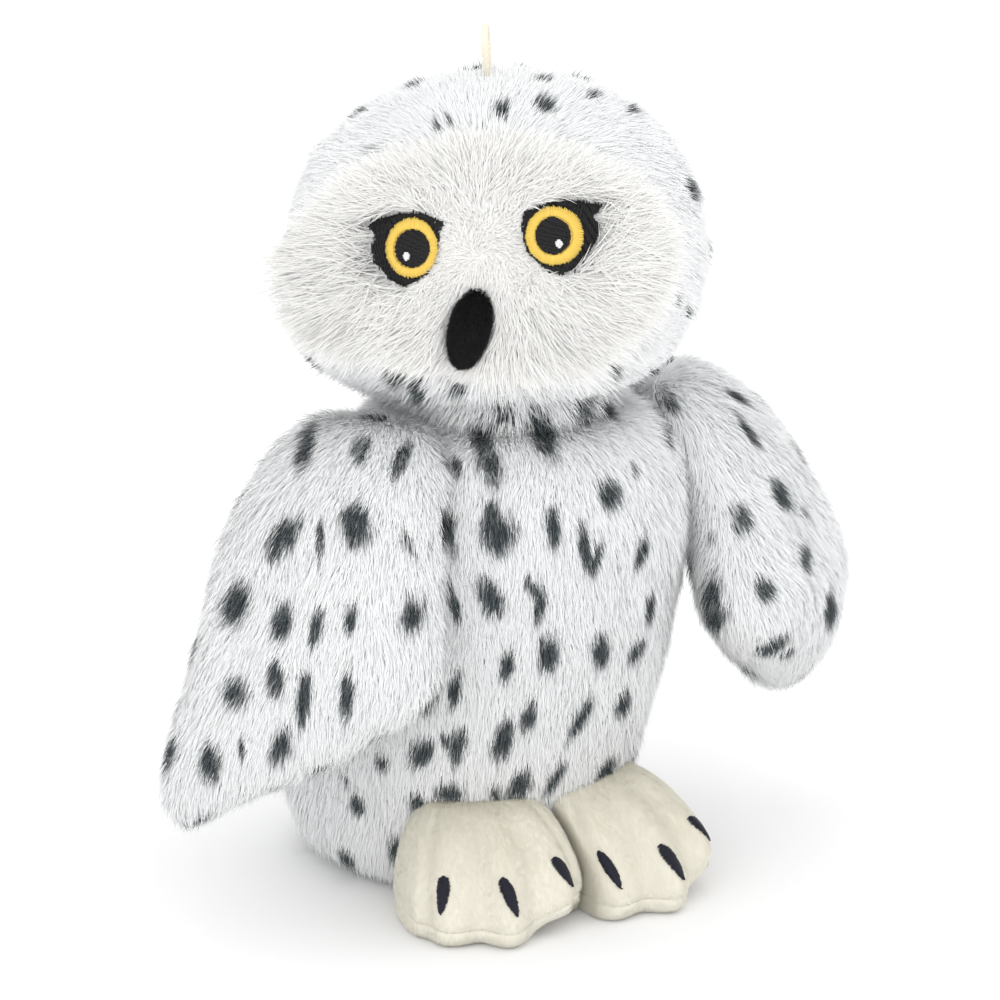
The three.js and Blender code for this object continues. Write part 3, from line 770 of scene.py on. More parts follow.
# Wings: each an outer and an inner panel of spotted plush, sewn round their edge, stuffed softly and
# sewn to the body at the shoulder. They hang by their own weight, and the left one swings out further.
WING_LENGTH = 103
WING_WIDTH = 62
WING_THICKNESS = 28
WING_HEIGHT = 136
SHOULDER_CURL = 10
CURLED_SHARE = 0.3
BOW_DROP = 1.5
WING_ROOT = (55, 13.5)
WING_ROWS = [
    (0, 0.03, 0.36, 0.42),
    (0.03, 0.14, 0.46, 0.72),
    (0.1, 0.21, 0.57, 0.95),
    (0.22, 0.23, 0.68, 1),
    (0.36, 0.22, 0.74, 1),
    (0.5, 0.25, 0.77, 1),
    (0.62, 0.25, 0.82, 0.94),
    (0.7, 0.1, 0.85, 0.86),
    (0.79, -0.14, 0.9, 0.76),
    (0.86, -0.36, 0.92, 0.66),
    (0.92, -0.54, 0.94, 0.52),
    (0.97, -0.7, 0.93, 0.38),
    (1, -0.79, 0.87, 0.22),
]
WING_RINGS = [0, 0.025, 0.08, 0.18, 0.32, 0.46, 0.59, 0.67, 0.75, 0.83, 0.9, 0.965, 1]
WINGS = {
    "left": {"side": 1, "place": 60, "facing": 42, "flare": 8, "bow": 11, "plump": 0.3, "shrug": 0},
    "right": {"side": -1, "place": 46, "facing": 46, "flare": 10, "bow": 4, "plump": 0, "shrug": 5},
}


def placed_vertices(piece, move):
    """Moves every vertex by a function of the array of places, in mm."""
    count = len(piece.data.vertices)
    places = np.empty(count * 3)
    piece.data.vertices.foreach_get("co", places)
    moved = move(places.reshape(-1, 3) / MM) * MM
    piece.data.vertices.foreach_set("co", moved.ravel())
    piece.data.update()


def matrix_applied(matrix, places):
    grid = np.array(matrix)
    return places @ grid[:3, :3].T + grid[:3, 3]


def wing_hung(stance):
    """The move that hangs a straight wing from its shoulder: curl, bow, flare, facing and side."""
    root = turned(stance["place"] - 90, "Z") @ Vector((*WING_ROOT, WING_HEIGHT))
    frame_of_wing = (
        Matrix.Translation(root)
        @ turned(stance["facing"] - 90, "Z")
        @ turned(-stance["flare"], "Y")
    )

    def move(places):
        share = -places[:, 2] / WING_LENGTH
        curl = SHOULDER_CURL * np.maximum(0, 1 - share / CURLED_SHARE) ** 2
        bow = stance["bow"] * np.sin(np.clip(share, 0, 1) ** BOW_DROP * math.pi)
        bent = places + np.stack([bow - curl, 0 * share, 0 * share], 1)
        hung = matrix_applied(frame_of_wing, bent)
        hung[:, 0] *= stance["side"]
        return hung

    return move


wing_trees = {}
wing_skins = {}
for suffix, stance in WINGS.items():
    wing_rows = []
    for share in WING_RINGS:
        front, back, thick = profile_at(WING_ROWS, share)
        full = 1 + stance["plump"] * min(1, max(0, (share - 0.25) / 0.35))
        reach = (front + back) * WING_WIDTH / 2 * SMOOTHING_SHRINK * full
        middle = (back - front) * WING_WIDTH / 2
        height = stance["shrug"] * max(0, 1 - share / 0.3) - share * WING_LENGTH
        wing_rows.append((thick * WING_THICKNESS / 2 * full, reach, 0, middle, height))
    wing_form = lofted(f"wing_{suffix}_form", wing_rows, sides=20)
    lumpy(wing_form, 1.6, 22, 11 + stance["side"])
    halves = {"outer": copied(wing_form, "wing_outer_half"), "inner": copied(wing_form, "wing_inner_half")}
    cut_away(halves["outer"], (half_seam, 0, 0), (-1, 0, 0))
    cut_away(halves["inner"], (-half_seam, 0, 0), (1, 0, 0))
    for piece in [wing_form, *halves.values()]:
        placed_vertices(piece, wing_hung(stance))
        if stance["side"] < 0:
            piece.data.flip_normals()
        pressed(piece, torso_tree, 0.4)
    wing_trees[suffix] = tree_of(wing_form)
    wing_skins[suffix] = halves
    for half, skin in halves.items():
        panel = copied(skin, f"wing_{suffix}_{half}_cloth")
        backing(panel, spotted_backing)
        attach(panel, f"wing_{suffix}")
        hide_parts(f"wing_{suffix}_{half}_panel")
    bpy.data.objects.remove(wing_form)


# Feet: an upper panel and a sole of very short cream plush over a firm filling. The thread that draws
# the three toes in makes the valleys between them, and the sole's seam runs round close to the ground.
FOOT_HEIGHT = 31
FOOT_HALF_LENGTH = 28
FOOT_HALF_WIDTH = 25
FOOT_FORWARD = 36
FOOT_ROUNDNESS = 2.4
TOE_ANGLE = 40
TOE_DEPTH = 6.5
SOLE_SEAM_HEIGHT = 5
SOLE_CREASE = 0.9
CREASE_HALF_HEIGHT = 1.0
INSTEP = -0.62
FOOT_ROWS = [
    (0, 0.9),
    (0.06, 0.97),
    (0.2, 1.01),
    (0.42, 0.95),
    (0.6, 0.84),
    (0.74, 0.7),
    (0.85, 0.56),
    (0.93, 0.43),
    (0.98, 0.31),
    (1, 0.21),
]
FOOT_RINGS = [0, 0.6, 1.6, 3, 4.2, 5.1, 6, 7.4, 10, 13.5, 17, 20.5, 23.5, 26, 28, 29.6, 30.6, 31]
FEET = {
    "left": {"side": 1, "foot_side": 18.3, "splay": 6, "leans": (3.5, 2.5, 4), "raised": 1, "rise": 6, "back": 3},
    "right": {"side": -1, "foot_side": 23.5, "splay": 18, "leans": (4, 2.5, -1), "raised": -1, "rise": 4.5, "back": 3},
}


def foot_point(stance, turn, height):
    """Point in mm on a foot of the left side by turn from its middle toe in degrees and by height."""
    angle = math.radians(turn)
    in_toes = math.sqrt(max(0, 1 - abs(turn) / (TOE_ANGLE * 1.5)))
    valley = TOE_DEPTH / 2 * (1 - math.cos(2 * math.pi * turn / TOE_ANGLE)) * in_toes
    along = abs(math.cos(angle) / FOOT_HALF_LENGTH) ** FOOT_ROUNDNESS
    across = abs(math.sin(angle) / FOOT_HALF_WIDTH) ** FOOT_ROUNDNESS
    reach = (along + across) ** (-1 / FOOT_ROUNDNESS)
    size = profile_at(FOOT_ROWS, height / FOOT_HEIGHT)[0]
    crease = SOLE_CREASE * math.exp(-(((height - SOLE_SEAM_HEIGHT) / CREASE_HALF_HEIGHT) ** 2))
    radius = reach - valley - crease
    start = INSTEP * FOOT_HALF_LENGTH
    forward = start + (radius * math.cos(angle) - start) * size
    sideways = radius * math.sin(angle) * math.sqrt(size)
    splay = math.radians(stance["splay"])
    return np.array([
        stance["foot_side"] + forward * math.sin(splay) + sideways * math.cos(splay),
        -FOOT_FORWARD - forward * math.cos(splay) + sideways * math.sin(splay),
        height,
    ])


def toe_raised(stance):
    """The move that raises the toe at one side of a foot and sets it back, as its filling left it."""
    splay = math.radians(stance["splay"])

    def move(places):
        x = places[:, 0] * stance["side"] - stance["foot_side"]
        y = places[:, 1] + FOOT_FORWARD
        forward = x * math.sin(splay) - y * math.cos(splay)
        sideways = x * math.cos(splay) + y * math.sin(splay)
        turns = np.degrees(np.arctan2(sideways, forward)) * stance["raised"]
        share = np.clip((turns - 12) / (TOE_ANGLE - 12), 0, 1) * np.clip(forward / 12, 0, 1)
        share = share * share * (3 - 2 * share)
        moved = places.copy()
        moved[:, 0] -= share * stance["back"] * math.sin(splay) * stance["side"]
        moved[:, 1] += share * stance["back"] * math.cos(splay)
        moved[:, 2] += share * stance["rise"] * (1 - np.clip(places[:, 2] / FOOT_HEIGHT, 0, 1))
        return moved

    return move


def velboa_finish():
    """Cream plush sheared to about a millimetre: a fine nap that is brushed in patches."""
    finish = Finish("cream_velboa")
    nap = finish.noise(1500, 2)
    brushed = finish.noise(85, 3)
    base = finish.mix(brushed, colour(0.84, 0.80, 0.68), colour(0.90, 0.87, 0.76))
    return principled(finish, base, 0.9, nap * 0.4 + brushed, 0.15)


cream_velboa = velboa_finish()
foot_forms = {}
foot_trees = {}
for suffix, stance in FEET.items():
    foot_form = lofted(f"foot_{suffix}_form", [(1, 1, 0, 0, z) for z in FOOT_RINGS], 72, smoothing=0)

    def toes_drawn(places):
        turns = np.degrees(np.arctan2(places[:, 0], -places[:, 1]))
        moved = np.array([foot_point(stance, turn, z) for turn, z in zip(turns, places[:, 2])])
        moved[:, 0] = np.maximum(moved[:, 0], 0.5) * stance["side"]
        return moved

    placed_vertices(foot_form, toes_drawn)
    if stance["side"] < 0:
        foot_form.data.flip_normals()
    apply_modifier(foot_form, "SUBSURF", levels=1, render_levels=1)
    pressed(foot_form, torso_tree, 0.5)
    lumpy(foot_form, 0.7, 14, 17)
    for vertex in foot_form.data.vertices:
        vertex.co.z = max(vertex.co.z, 0.1 * MM)
    seam = SOLE_SEAM_HEIGHT + SEAM_GAP / 2
    for name, normal in {"sole": (0, 0, 1), "upper": (0, 0, -1)}.items():
        panel = copied(foot_form, f"foot_{suffix}_{name}_cloth")
        cut_away(panel, (0, 0, seam - half_seam * normal[2]), normal)
        backing(panel, cream_velboa)
        placed_vertices(panel, toe_raised(stance))
        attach(panel, f"foot_{suffix}")
        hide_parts(f"foot_{suffix}_{name}_panel")
    placed_vertices(foot_form, toe_raised(stance))
    foot_forms[suffix] = foot_form
    foot_trees[suffix] = tree_of(foot_form)
    held_in(bpy.data.objects[f"foot_{suffix}_filling_fibre"], foot_trees[suffix], FABRIC_THICKNESS + 0.6)


# Flecks: dark places printed on the tips of the white pile. Those on the side of the picture are
# listed as pixel column and row, length and width in pixels, lean of the top to the right in
# degrees, and strength; the other sides are strewn with flecks of the same size and spacing.
FLECKS_SEEN = [
    # wing on the left of the picture
    (305, 450, 48, 16, 12, 1), (360, 456, 26, 18, 15, 1), (401, 464, 40, 14, 25, 1),
    (372, 422, 24, 26, 0, 1), (284, 543, 44, 24, 35, 1), (321, 546, 35, 8, 3, 1),
    (356, 530, 42, 28, -10, 1), (407, 549, 28, 10, -25, 0.5), (427, 552, 18, 5, 5, 0.4),
    (448, 533, 46, 14, -12, 1), (237, 608, 44, 25, 22, 1), (283, 625, 38, 19, 17, 1),
    (317, 632, 35, 12, 15, 1), (351, 624, 29, 11, 12, 1), (411, 620, 33, 22, 20, 1),
    (456, 610, 36, 10, -8, 1), (237, 696, 28, 24, -40, 1), (276, 684, 34, 16, -8, 1),
    (305, 702, 52, 12, 8, 1), (346, 699, 48, 13, 5, 1), (427, 694, 34, 28, 10, 1),
    (172, 761, 36, 12, 20, 1), (211, 766, 36, 20, -3, 1), (242, 750, 22, 6, -5, 1),
    (281, 750, 34, 18, 22, 1), (255, 791, 18, 28, 0, 1), (225, 520, 16, 8, 0, 1),
    (260, 461, 18, 8, 35, 1),
    # belly
    (486, 460, 56, 24, -20, 1), (545, 444, 46, 22, -20, 1), (456, 472, 20, 11, -15, 1),
    (498, 536, 40, 34, 0, 1), (492, 516, 22, 16, 0, 1), (552, 530, 43, 13, 0, 1),
    (608, 500, 26, 22, 10, 1), (633, 476, 14, 8, 0, 0.5), (610, 420, 22, 16, -10, 1),
    (644, 410, 30, 9, 0, 1), (666, 444, 36, 6, -5, 1), (583, 552, 48, 11, -8, 1),
    (594, 562, 34, 11, 20, 1), (638, 555, 32, 11, 20, 1), (490, 600, 22, 40, 65, 1),
    (538, 606, 40, 13, 4, 1), (529, 590, 22, 9, -25, 1), (646, 610, 30, 9, 5, 1),
    (455, 691, 34, 13, 12, 1), (506, 668, 28, 13, 12, 1), (547, 655, 36, 21, 10, 1),
    (598, 652, 32, 16, 5, 1), (632, 654, 26, 13, 38, 1), (674, 669, 30, 9, 12, 1),
    (648, 691, 25, 9, 20, 0.5), (619, 705, 28, 15, 8, 1), (577, 720, 46, 12, 30, 1),
    (526, 718, 28, 15, 15, 1), (502, 740, 44, 18, 15, 1), (457, 749, 38, 15, 15, 1),
    (446, 742, 18, 8, -25, 1), (422, 755, 32, 20, 35, 1), (384, 764, 16, 14, 0, 1),
    (348, 782, 20, 8, -30, 0.5), (360, 807, 20, 15, -20, 1), (418, 804, 16, 18, 0, 1),
    (449, 803, 18, 27, 0, 1), (351, 857, 16, 24, 70, 1), (317, 847, 22, 5, -35, 1),
    (517, 788, 32, 20, 28, 1), (552, 780, 34, 10, 33, 1), (602, 773, 31, 14, 35, 1),
    (494, 794, 16, 10, -30, 1), (682, 610, 50, 4, 4, 1),
    # wing on the right of the picture
    (669, 408, 20, 27, 70, 1), (706, 369, 9, 40, 0, 1), (737, 402, 28, 9, -60, 1),
    (748, 437, 42, 9, -35, 1), (780, 501, 36, 15, -30, 1), (801, 518, 12, 8, 0, 1),
    (742, 524, 22, 30, 70, 1), (714, 543, 14, 12, 0, 0.5), (714, 600, 42, 18, 5, 1),
    (720, 621, 20, 34, -70, 1), (765, 594, 24, 19, 0, 1), (768, 643, 30, 32, 0, 1),
    (784, 650, 16, 20, 0, 1), (804, 563, 26, 14, -5, 1), (825, 612, 52, 20, -22, 1),
    (817, 652, 12, 8, 0, 1), (730, 650, 12, 14, 0, 1), (734, 663, 10, 10, 0, 1),
    # head
    (360, 120, 20, 14, 40, 1), (415, 91, 26, 12, 42, 1), (436, 127, 14, 6, 0, 0.8),
    (448, 124, 16, 7, 0, 0.8), (503, 111, 18, 16, 0, 1), (547, 107, 22, 15, -30, 1),
    (543, 83, 8, 18, 0, 1), (594, 101, 16, 15, -40, 1), (631, 116, 12, 20, -50, 1),
    (687, 193, 24, 24, 0, 1), (662, 214, 12, 6, 0, 0.5), (498, 74, 6, 14, 0, 1),
    (465, 76, 6, 14, 0, 0.5), (674, 300, 12, 8, 0, 1), (682, 312, 8, 14, 0, 1),
    (367, 154, 12, 8, 0, 0.5), (317, 361, 12, 10, 0, 0.5), (395, 372, 30, 22, -15, 1),
    (415, 391, 30, 12, -10, 1), (455, 388, 18, 16, 0, 1), (615, 368, 10, 22, 60, 1),
    (666, 356, 14, 6, 0, 1), (308, 209, 8, 6, 0, 0.5),
]
FLECK_LENGTH = 9.4
FLECK_WIDTH = 5.2
FLECK_SPACING = 13
FLECK_SWELL = 1.2
PIXEL = PICTURE_SIDE / PICTURE_PIXELS
UPRIGHT = np.array([0, 0, 1.0])


def unit(vectors):
    return vectors / np.maximum(np.linalg.norm(vectors, axis=-1, keepdims=True), 1e-9)


def along_skin(vectors, normals):
    """The part of each vector that lies in its tangent plane, at length 1."""
    return unit(vectors - normals * np.sum(vectors * normals, axis=1, keepdims=True))


def skin_of(piece):
    """Corner points and corner normals of a piece's triangles."""
    mesh = piece.data
    mesh.calc_loop_triangles()
    corners = np.empty(len(mesh.loop_triangles) * 3, np.int32)
    mesh.loop_triangles.foreach_get("vertices", corners)
    points = np.empty(len(mesh.vertices) * 3)
    normals = np.empty(len(mesh.vertices) * 3)
    mesh.vertices.foreach_get("co", points)
    mesh.vertices.foreach_get("normal", normals)
    return points.reshape(-1, 3)[corners].reshape(-1, 3, 3), normals.reshape(-1, 3)[corners].reshape(-1, 3, 3)


def kept_skin(skin, keep):
    """The triangles whose middle passes a test; the test gets the middles in mm."""
    corners, normals = skin
    chosen = keep(corners.mean(axis=1) / MM)
    return corners[chosen], normals[chosen]


def outside(skin, trees, gap):
    """The triangles that lie clear of the given neighbours by a gap in mm."""
    middles = skin[0].mean(axis=1)
    free = np.ones(len(middles), bool)
    for tree in trees:
        for i, middle in enumerate(middles):
            spot, normal, _, distance = tree.find_nearest(Vector(middle))
            if (Vector(middle) - spot).dot(normal) < gap * MM and distance < 30 * MM:
                free[i] = False
    return skin[0][free], skin[1][free]


def roots_on(skin, count, seed):
    """Evenly strewn points on the triangles and the skin's normals there."""
    corners, normals = skin
    chance = np.random.default_rng(seed)
    sides = np.cross(corners[:, 1] - corners[:, 0], corners[:, 2] - corners[:, 0])
    areas = np.linalg.norm(sides, axis=1)
    pick = chance.choice(len(areas), count, p=areas / areas.sum())
    u, v = chance.random((2, count))
    over = u + v > 1
    u[over], v[over] = 1 - u[over], 1 - v[over]
    shares = np.stack([1 - u - v, u, v], 1)[:, :, None]
    return (corners[pick] * shares).sum(axis=1), unit((normals[pick] * shares).sum(axis=1))


DRIFT_SIZE = 4096
drift_table = np.random.default_rng(5).uniform(-1, 1, (DRIFT_SIZE, 3))


def drift(points, grain, seed=0):
    """Smooth random vectors from -1 to 1 that change over a grain in mm."""
    spots = points / (grain * MM)
    cells = np.floor(spots).astype(np.int64)
    part = spots - cells
    ease = part * part * (3 - 2 * part)
    total = np.zeros((len(points), 3))
    for corner in np.ndindex(2, 2, 2):
        x, y, z = (cells + corner).T
        index = ((x * 73856093) ^ (y * 19349663) ^ (z * 83492791) ^ (seed * 2654435)) % DRIFT_SIZE
        share = np.prod(np.where(corner, ease, 1 - ease), axis=1)
        total += drift_table[index] * share[:, None]
    return total


class Flecks:
    """Dark places: a middle, two half axes and a strength each."""

    def __init__(self):
        self.rows = []

    def add(self, middle, long_axis, wide_axis, half_long, half_wide, strength):
        self.rows.append((np.array(middle), np.array(long_axis), np.array(wide_axis), half_long, half_wide, strength))

    def darkness(self, points, chance):
        """How dark the pile is at each point; single strands cross the edges."""
        ragged = 1.06 + 0.55 * (chance.random(len(points)) - 0.5) + 0.2 * drift(points, 2.4, 3)[:, 0]
        dark = np.zeros(len(points))
        for middle, long_axis, wide_axis, half_long, half_wide, strength in self.rows:
            reach = 1.7 * max(half_long, half_wide)
            near = np.flatnonzero(np.sum((points - middle) ** 2, axis=1) < reach**2)
            if not len(near):
                continue
            gap = points[near] - middle
            ring = np.hypot(gap @ long_axis / half_long, gap @ wide_axis / half_wide) / FLECK_SWELL
            shade = np.clip((ragged[near] - ring) / 0.4, 0, 1)
            thin = strength > chance.random(len(near))
            dark[near] = np.maximum(dark[near], shade * np.where(thin, 1, 0.25 * strength))
        return dark


flecks = Flecks()
eye = np.array(view_point)
right, up, back = (np.array(v) for v in (view_right, view_up, view_back))
all_trees = [torso_tree, head_tree, *wing_trees.values(), *foot_trees.values()]


def seen_through(column, row):
    """First place on a form behind a pixel of the picture, or None."""
    half = PICTURE_PIXELS / 2
    ray = -back * VIEW_DISTANCE + right * (column - half) * PIXEL + up * (half - row) * PIXEL
    hits = [tree.ray_cast(Vector(eye), Vector(ray)) for tree in all_trees]
    hits = [hit for hit in hits if hit[0] is not None]
    return min(hits, key=lambda hit: hit[3]) if hits else None


def seen(point, normal):
    """Whether the camera sees this place."""
    if normal @ back < 0.12:
        return False
    start = Vector(point + normal * 3 * MM)
    way = Vector(eye) - start
    return not any(tree.ray_cast(start, way)[0] for tree in all_trees)


for column, row, long_pixels, wide_pixels, lean, strength in FLECKS_SEEN:
    hit = seen_through(column, row)
    if hit is None:
        continue
    angle = math.radians(lean)
    long_axis = right * math.sin(angle) + up * math.cos(angle)
    wide_axis = right * math.cos(angle) - up * math.sin(angle)
    middle = np.array(hit[0]) + np.array(hit[1]) * 1.5 * MM
    flecks.add(middle, long_axis, wide_axis, long_pixels * PIXEL / 2, wide_pixels * PIXEL / 2, strength)


def strewn(skin, flow, count, seed, spacing=FLECK_SPACING):
    """Adds flecks where the picture shows none, at least a spacing from each other."""
    chance = np.random.default_rng(seed)
    places, normals = roots_on(skin, count, seed)
    flows = flow(places, normals)
    for place, normal, way in zip(places, normals, flows):
        middles = np.array([row[0] for row in flecks.rows])
        if np.min(np.linalg.norm(middles - place, axis=1)) < spacing * MM or seen(place, normal):
            continue
        lean = chance.normal(0, 0.3)
        long_axis = way * math.cos(lean) + np.cross(normal, way) * math.sin(lean)
        wide_axis = np.cross(normal, long_axis)
        half_long = FLECK_LENGTH / 2 * chance.uniform(0.65, 1.3) * MM
        half_wide = FLECK_WIDTH / 2 * chance.uniform(0.5, 1.35) * MM
        flecks.add(place + normal * 1.5 * MM, long_axis, wide_axis, half_long, half_wide, 1)


# Pile of the spotted plush: fine fibres 6 to 8 mm long, all laid the same way on each panel, so that
# they cover the knit and each other. Every fibre is a thin tapered blade that rises and lies down.
PILE_LENGTH = 6.0
PILE_WIDTH = 0.235
PILE_STATIONS = (0, 0.52, 1)


def pile_finish(name, tip, root, fleck_tip, fleck_root, roughness):
    """Fibres: darker towards the knit as painted shade deep in the pile, each a little different, and dark where a
    fleck is printed.
    """
    finish = Finish(name)
    along = finish.attribute("along")
    tone = finish.attribute("tone")
    dark = finish.attribute("dark")
    # Where a root colour is darker than its tip colour, the darkening towards the knit is painted shade deep in the
    # pile, for the white and the fleck alike.
    clean = finish.mix(finish.ramp(along, 0.0, 0.7) * (0.4 + tone * 0.6), root, tip)
    inked = finish.mix(finish.ramp(along, 0.1, 1.0) * tone, fleck_root, fleck_tip)
    print_start = finish.ramp(along, 0.05, 0.3)
    base = finish.mix(dark * print_start, clean, inked)
    return principled(finish, base, roughness, Specular_IOR_Level=0.15)


def blades(name, points, across, normals, material, attributes):
    """Mesh of tapered blades: points has a row of stations for each blade, across a half width each."""
    count, stations, _ = points.shape
    body = stations - 1
    rows = points[:, :body, None, :] + across[:, :body, None, :] * np.array([-1, 1])[None, None, :, None]
    verts = np.concatenate([rows.reshape(count, -1, 3), points[:, -1:, :]], axis=1)
    per = 2 * body + 1
    loops = []
    starts = [0]
    for k in range(body - 1):
        loops += [2 * k, 2 * k + 1, 2 * k + 3, 2 * k + 2]
        starts.append(starts[-1] + 4)
    loops += [2 * body - 2, 2 * body - 1, 2 * body]
    base = np.arange(count)[:, None]
    mesh = bpy.data.meshes.new(name)
    mesh.vertices.add(count * per)
    verts[:, :, 2] = np.maximum(verts[:, :, 2], 0.15 * MM)
    mesh.vertices.foreach_set("co", verts.ravel())
    mesh.loops.add(count * len(loops))
    mesh.loops.foreach_set("vertex_index", (base * per + np.array(loops)).astype(np.int32).ravel())
    mesh.polygons.add(count * len(starts))
    mesh.polygons.foreach_set("loop_start", (base * len(loops) + np.array(starts)).astype(np.int32).ravel())
    mesh.update(calc_edges=True)
    mesh.polygons.foreach_set("use_smooth", np.ones(count * len(starts), bool))
    facing = mesh.attributes.new("custom_normal", "FLOAT_VECTOR", "POINT")
    facing.data.foreach_set("vector", np.repeat(normals, per, axis=0).ravel())
    levels = np.concatenate([np.repeat(np.linspace(0, 1, stations)[:body], 2), [1.0]])
    attributes = {"along": np.tile(levels, (count, 1)), **attributes}
    for key, values in attributes.items():
        layer = mesh.attributes.new(key, "FLOAT", "POINT")
        filled = values if values.ndim == 2 else np.repeat(values[:, None], per, axis=1)
        layer.data.foreach_set("value", filled.astype(np.float32).ravel())
    grid = math.ceil(math.sqrt(count))
    corner = np.stack([np.arange(count) % grid, np.arange(count) // grid], 1) / grid
    inside = np.stack([np.tile([0.2, 0.8], body).tolist() + [0.5], 0.1 + 0.8 * levels], 1) / grid
    spread = (corner[:, None, :] + inside[None, :, :])[:, loops, :]
    mesh.uv_layers.new(name="OFBake").data.foreach_set("uv", spread.astype(np.float32).ravel())
    mesh.materials.append(material)
    piece = bpy.data.objects.new(name, mesh)
    bpy.context.scene.collection.objects.link(piece)
    return piece


def grown(name, roots, normals, flow, lengths, material, seed, width=PILE_WIDTH, rise=0.4, sweep=0.88,
          stations=PILE_STATIONS, clump=2.2, pull=0.14, droop=0.0, stray=1.4, fluff=0.13,
          leaning=0.0, printed=True):
    """A pile of blades from these roots, with the fibres of a tuft drawn together at their tips."""
    chance = np.random.default_rng(seed)
    count = len(roots)
    rise, sweep = (np.broadcast_to(np.reshape(v, (-1, 1)), (count, 1)) for v in (rise, sweep))
    ways = along_skin(flow + stray * (0.18 * drift(roots, 9, 1) + 0.11 * drift(roots, 3, 2)), normals)
    rises = rise * (1 + 0.2 * drift(roots, 5, 4)[:, :1] + 0.14 * chance.normal(size=(count, 1)))
    spread = chance.normal(0, fluff, (count, 3))
    t = np.array(stations)[None, :, None]
    along = ways[:, None, :] * sweep[:, None, :] * t**1.35
    lift = normals[:, None, :] * (rises[:, None, :] * (1.7 * t - 0.7 * t * t))
    points = roots[:, None, :] + lengths[:, None, None] * (along + lift + spread[:, None, :] * t**1.5)
    points[:, :, 2] -= droop * lengths[:, None] * np.array(stations)[None, :] ** 2
    cells = np.floor((roots + drift(roots, 4, 6) * 0.8 * MM) / (clump * MM)).astype(np.int64)
    keys = (cells[:, 0] * 73856093) ^ (cells[:, 1] * 19349663) ^ (cells[:, 2] * 83492791)
    _, tuft = np.unique(keys, return_inverse=True)
    members = np.bincount(tuft)
    tips = np.stack([np.bincount(tuft, points[:, -1, k]) / members for k in range(3)], 1)[tuft]
    points += pull * (tips - points[:, -1, :])[:, None, :] * t**1.5
    roll = np.clip(chance.normal(0, 0.25, (count, 1)), -0.6, 0.6)
    direction = unit(points[:, -1, :] - points[:, 0, :])
    side = unit(np.cross(direction, normals)) * np.cos(roll) + normals * np.sin(roll)
    taper = np.interp(stations, [0, 0.5, 1], [1.0, 0.92, 0.5])[None, :, None]
    across = unit(side)[:, None, :] * (width * MM / 2 * chance.uniform(0.75, 1.2, (count, 1)))[:, :, None] * taper
    facing = normals + leaning * direction + 0.1 * drift(roots, 1.6, 8) + 0.05 * chance.normal(size=(count, 3))
    middle = points[:, len(stations) // 2, :] * 0.35 + points[:, -1, :] * 0.65
    dark = flecks.darkness(middle, chance) if printed else np.zeros(count)
    attributes = {"dark": dark, "tone": chance.random(count)}
    return blades(name, points, across, unit(facing), material, attributes)


def plush(name, skin, count, flow, body, slot, material, seed, length=PILE_LENGTH, **more):
    """One panel's pile."""
    roots, normals = roots_on(skin, count, seed)
    chance = np.random.default_rng(seed + 1)
    lengths = length * MM * chance.uniform(0.75, 1.15, count)
    piece = grown(name, roots, normals, flow(roots, normals), lengths, material, seed + 2, **more)
    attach(piece, body)
    return piece


# The white root and tip colours are the same; the fleck root colour, far darker than the fleck tip colour, is painted
# shade deep in the pile.
spotted_pile = pile_finish(
    "spotted_pile", colour(0.925, 0.935, 0.94), colour(0.925, 0.935, 0.94),
    colour(0.16, 0.19, 0.20), colour(0.022, 0.028, 0.032), 0.75,
)


def torso_flow(points, normals):
    outward = points * np.array([1, 1, 0]) - np.array([0, NECK_SET_BACK * MM, 0])
    top = np.clip((points[:, 2:] / MM - 118) / 14, 0, 1)
    return along_skin(-UPRIGHT + unit(outward) * (0.1 + 0.9 * top), normals)


def head_flow(points, normals):
    inverse = head_frame.inverted()
    local = matrix_applied(inverse, points) / MM
    ways = np.stack([local[:, 0] * 0.012, np.full(len(points), 0.7), -0.75 + 0 * local[:, 0]], 1)
    front = np.clip(-local[:, 1] / 40, 0, 1)
    ways[:, 0] += np.clip(local[:, 0] / 25, -1, 1) * 0.5 * front
    crown = np.clip((local[:, 2] - 60) / 20, 0, 1)
    ways[:, 2] *= 1 - 0.8 * crown
    world = ways @ np.array(head_frame)[:3, :3].T
    return along_skin(world, normals)


def wing_flow(suffix):
    stance = WINGS[suffix]
    hang = wing_hung(stance)
    ends = hang(np.array([[0, 12, -20], [0, 18, -100]], float))
    way = unit((ends[1] - ends[0])[None, :])[0]
    return lambda points, normals: along_skin(np.tile(way, (len(points), 1)), normals)


LONG_PILE_HALF_WIDTH = 45.5
LONG_PILE_HALF_HEIGHT = 30
LONG_PILE_CENTRE = 39
torso_skin = outside(skin_of(torso_form), [*wing_trees.values(), *foot_trees.values()], -1.0)
head_skin = skin_of(head_form)


def in_face(places):
    """Whether places in mm, in the world, lie in the oval where the long pile grows."""
    local = matrix_applied(head_frame.inverted(), places * MM) / MM
    rise = (local[:, 2] - HEAD_RIM - LONG_PILE_CENTRE) / LONG_PILE_HALF_HEIGHT
    return (np.hypot(local[:, 0] / LONG_PILE_HALF_WIDTH, rise) < 1) & (local[:, 1] < 0)


def head_height(places):
    return matrix_applied(head_frame.inverted(), places * MM)[:, 2] / MM


def head_side(places):
    return matrix_applied(head_frame.inverted(), places * MM)[:, 0]


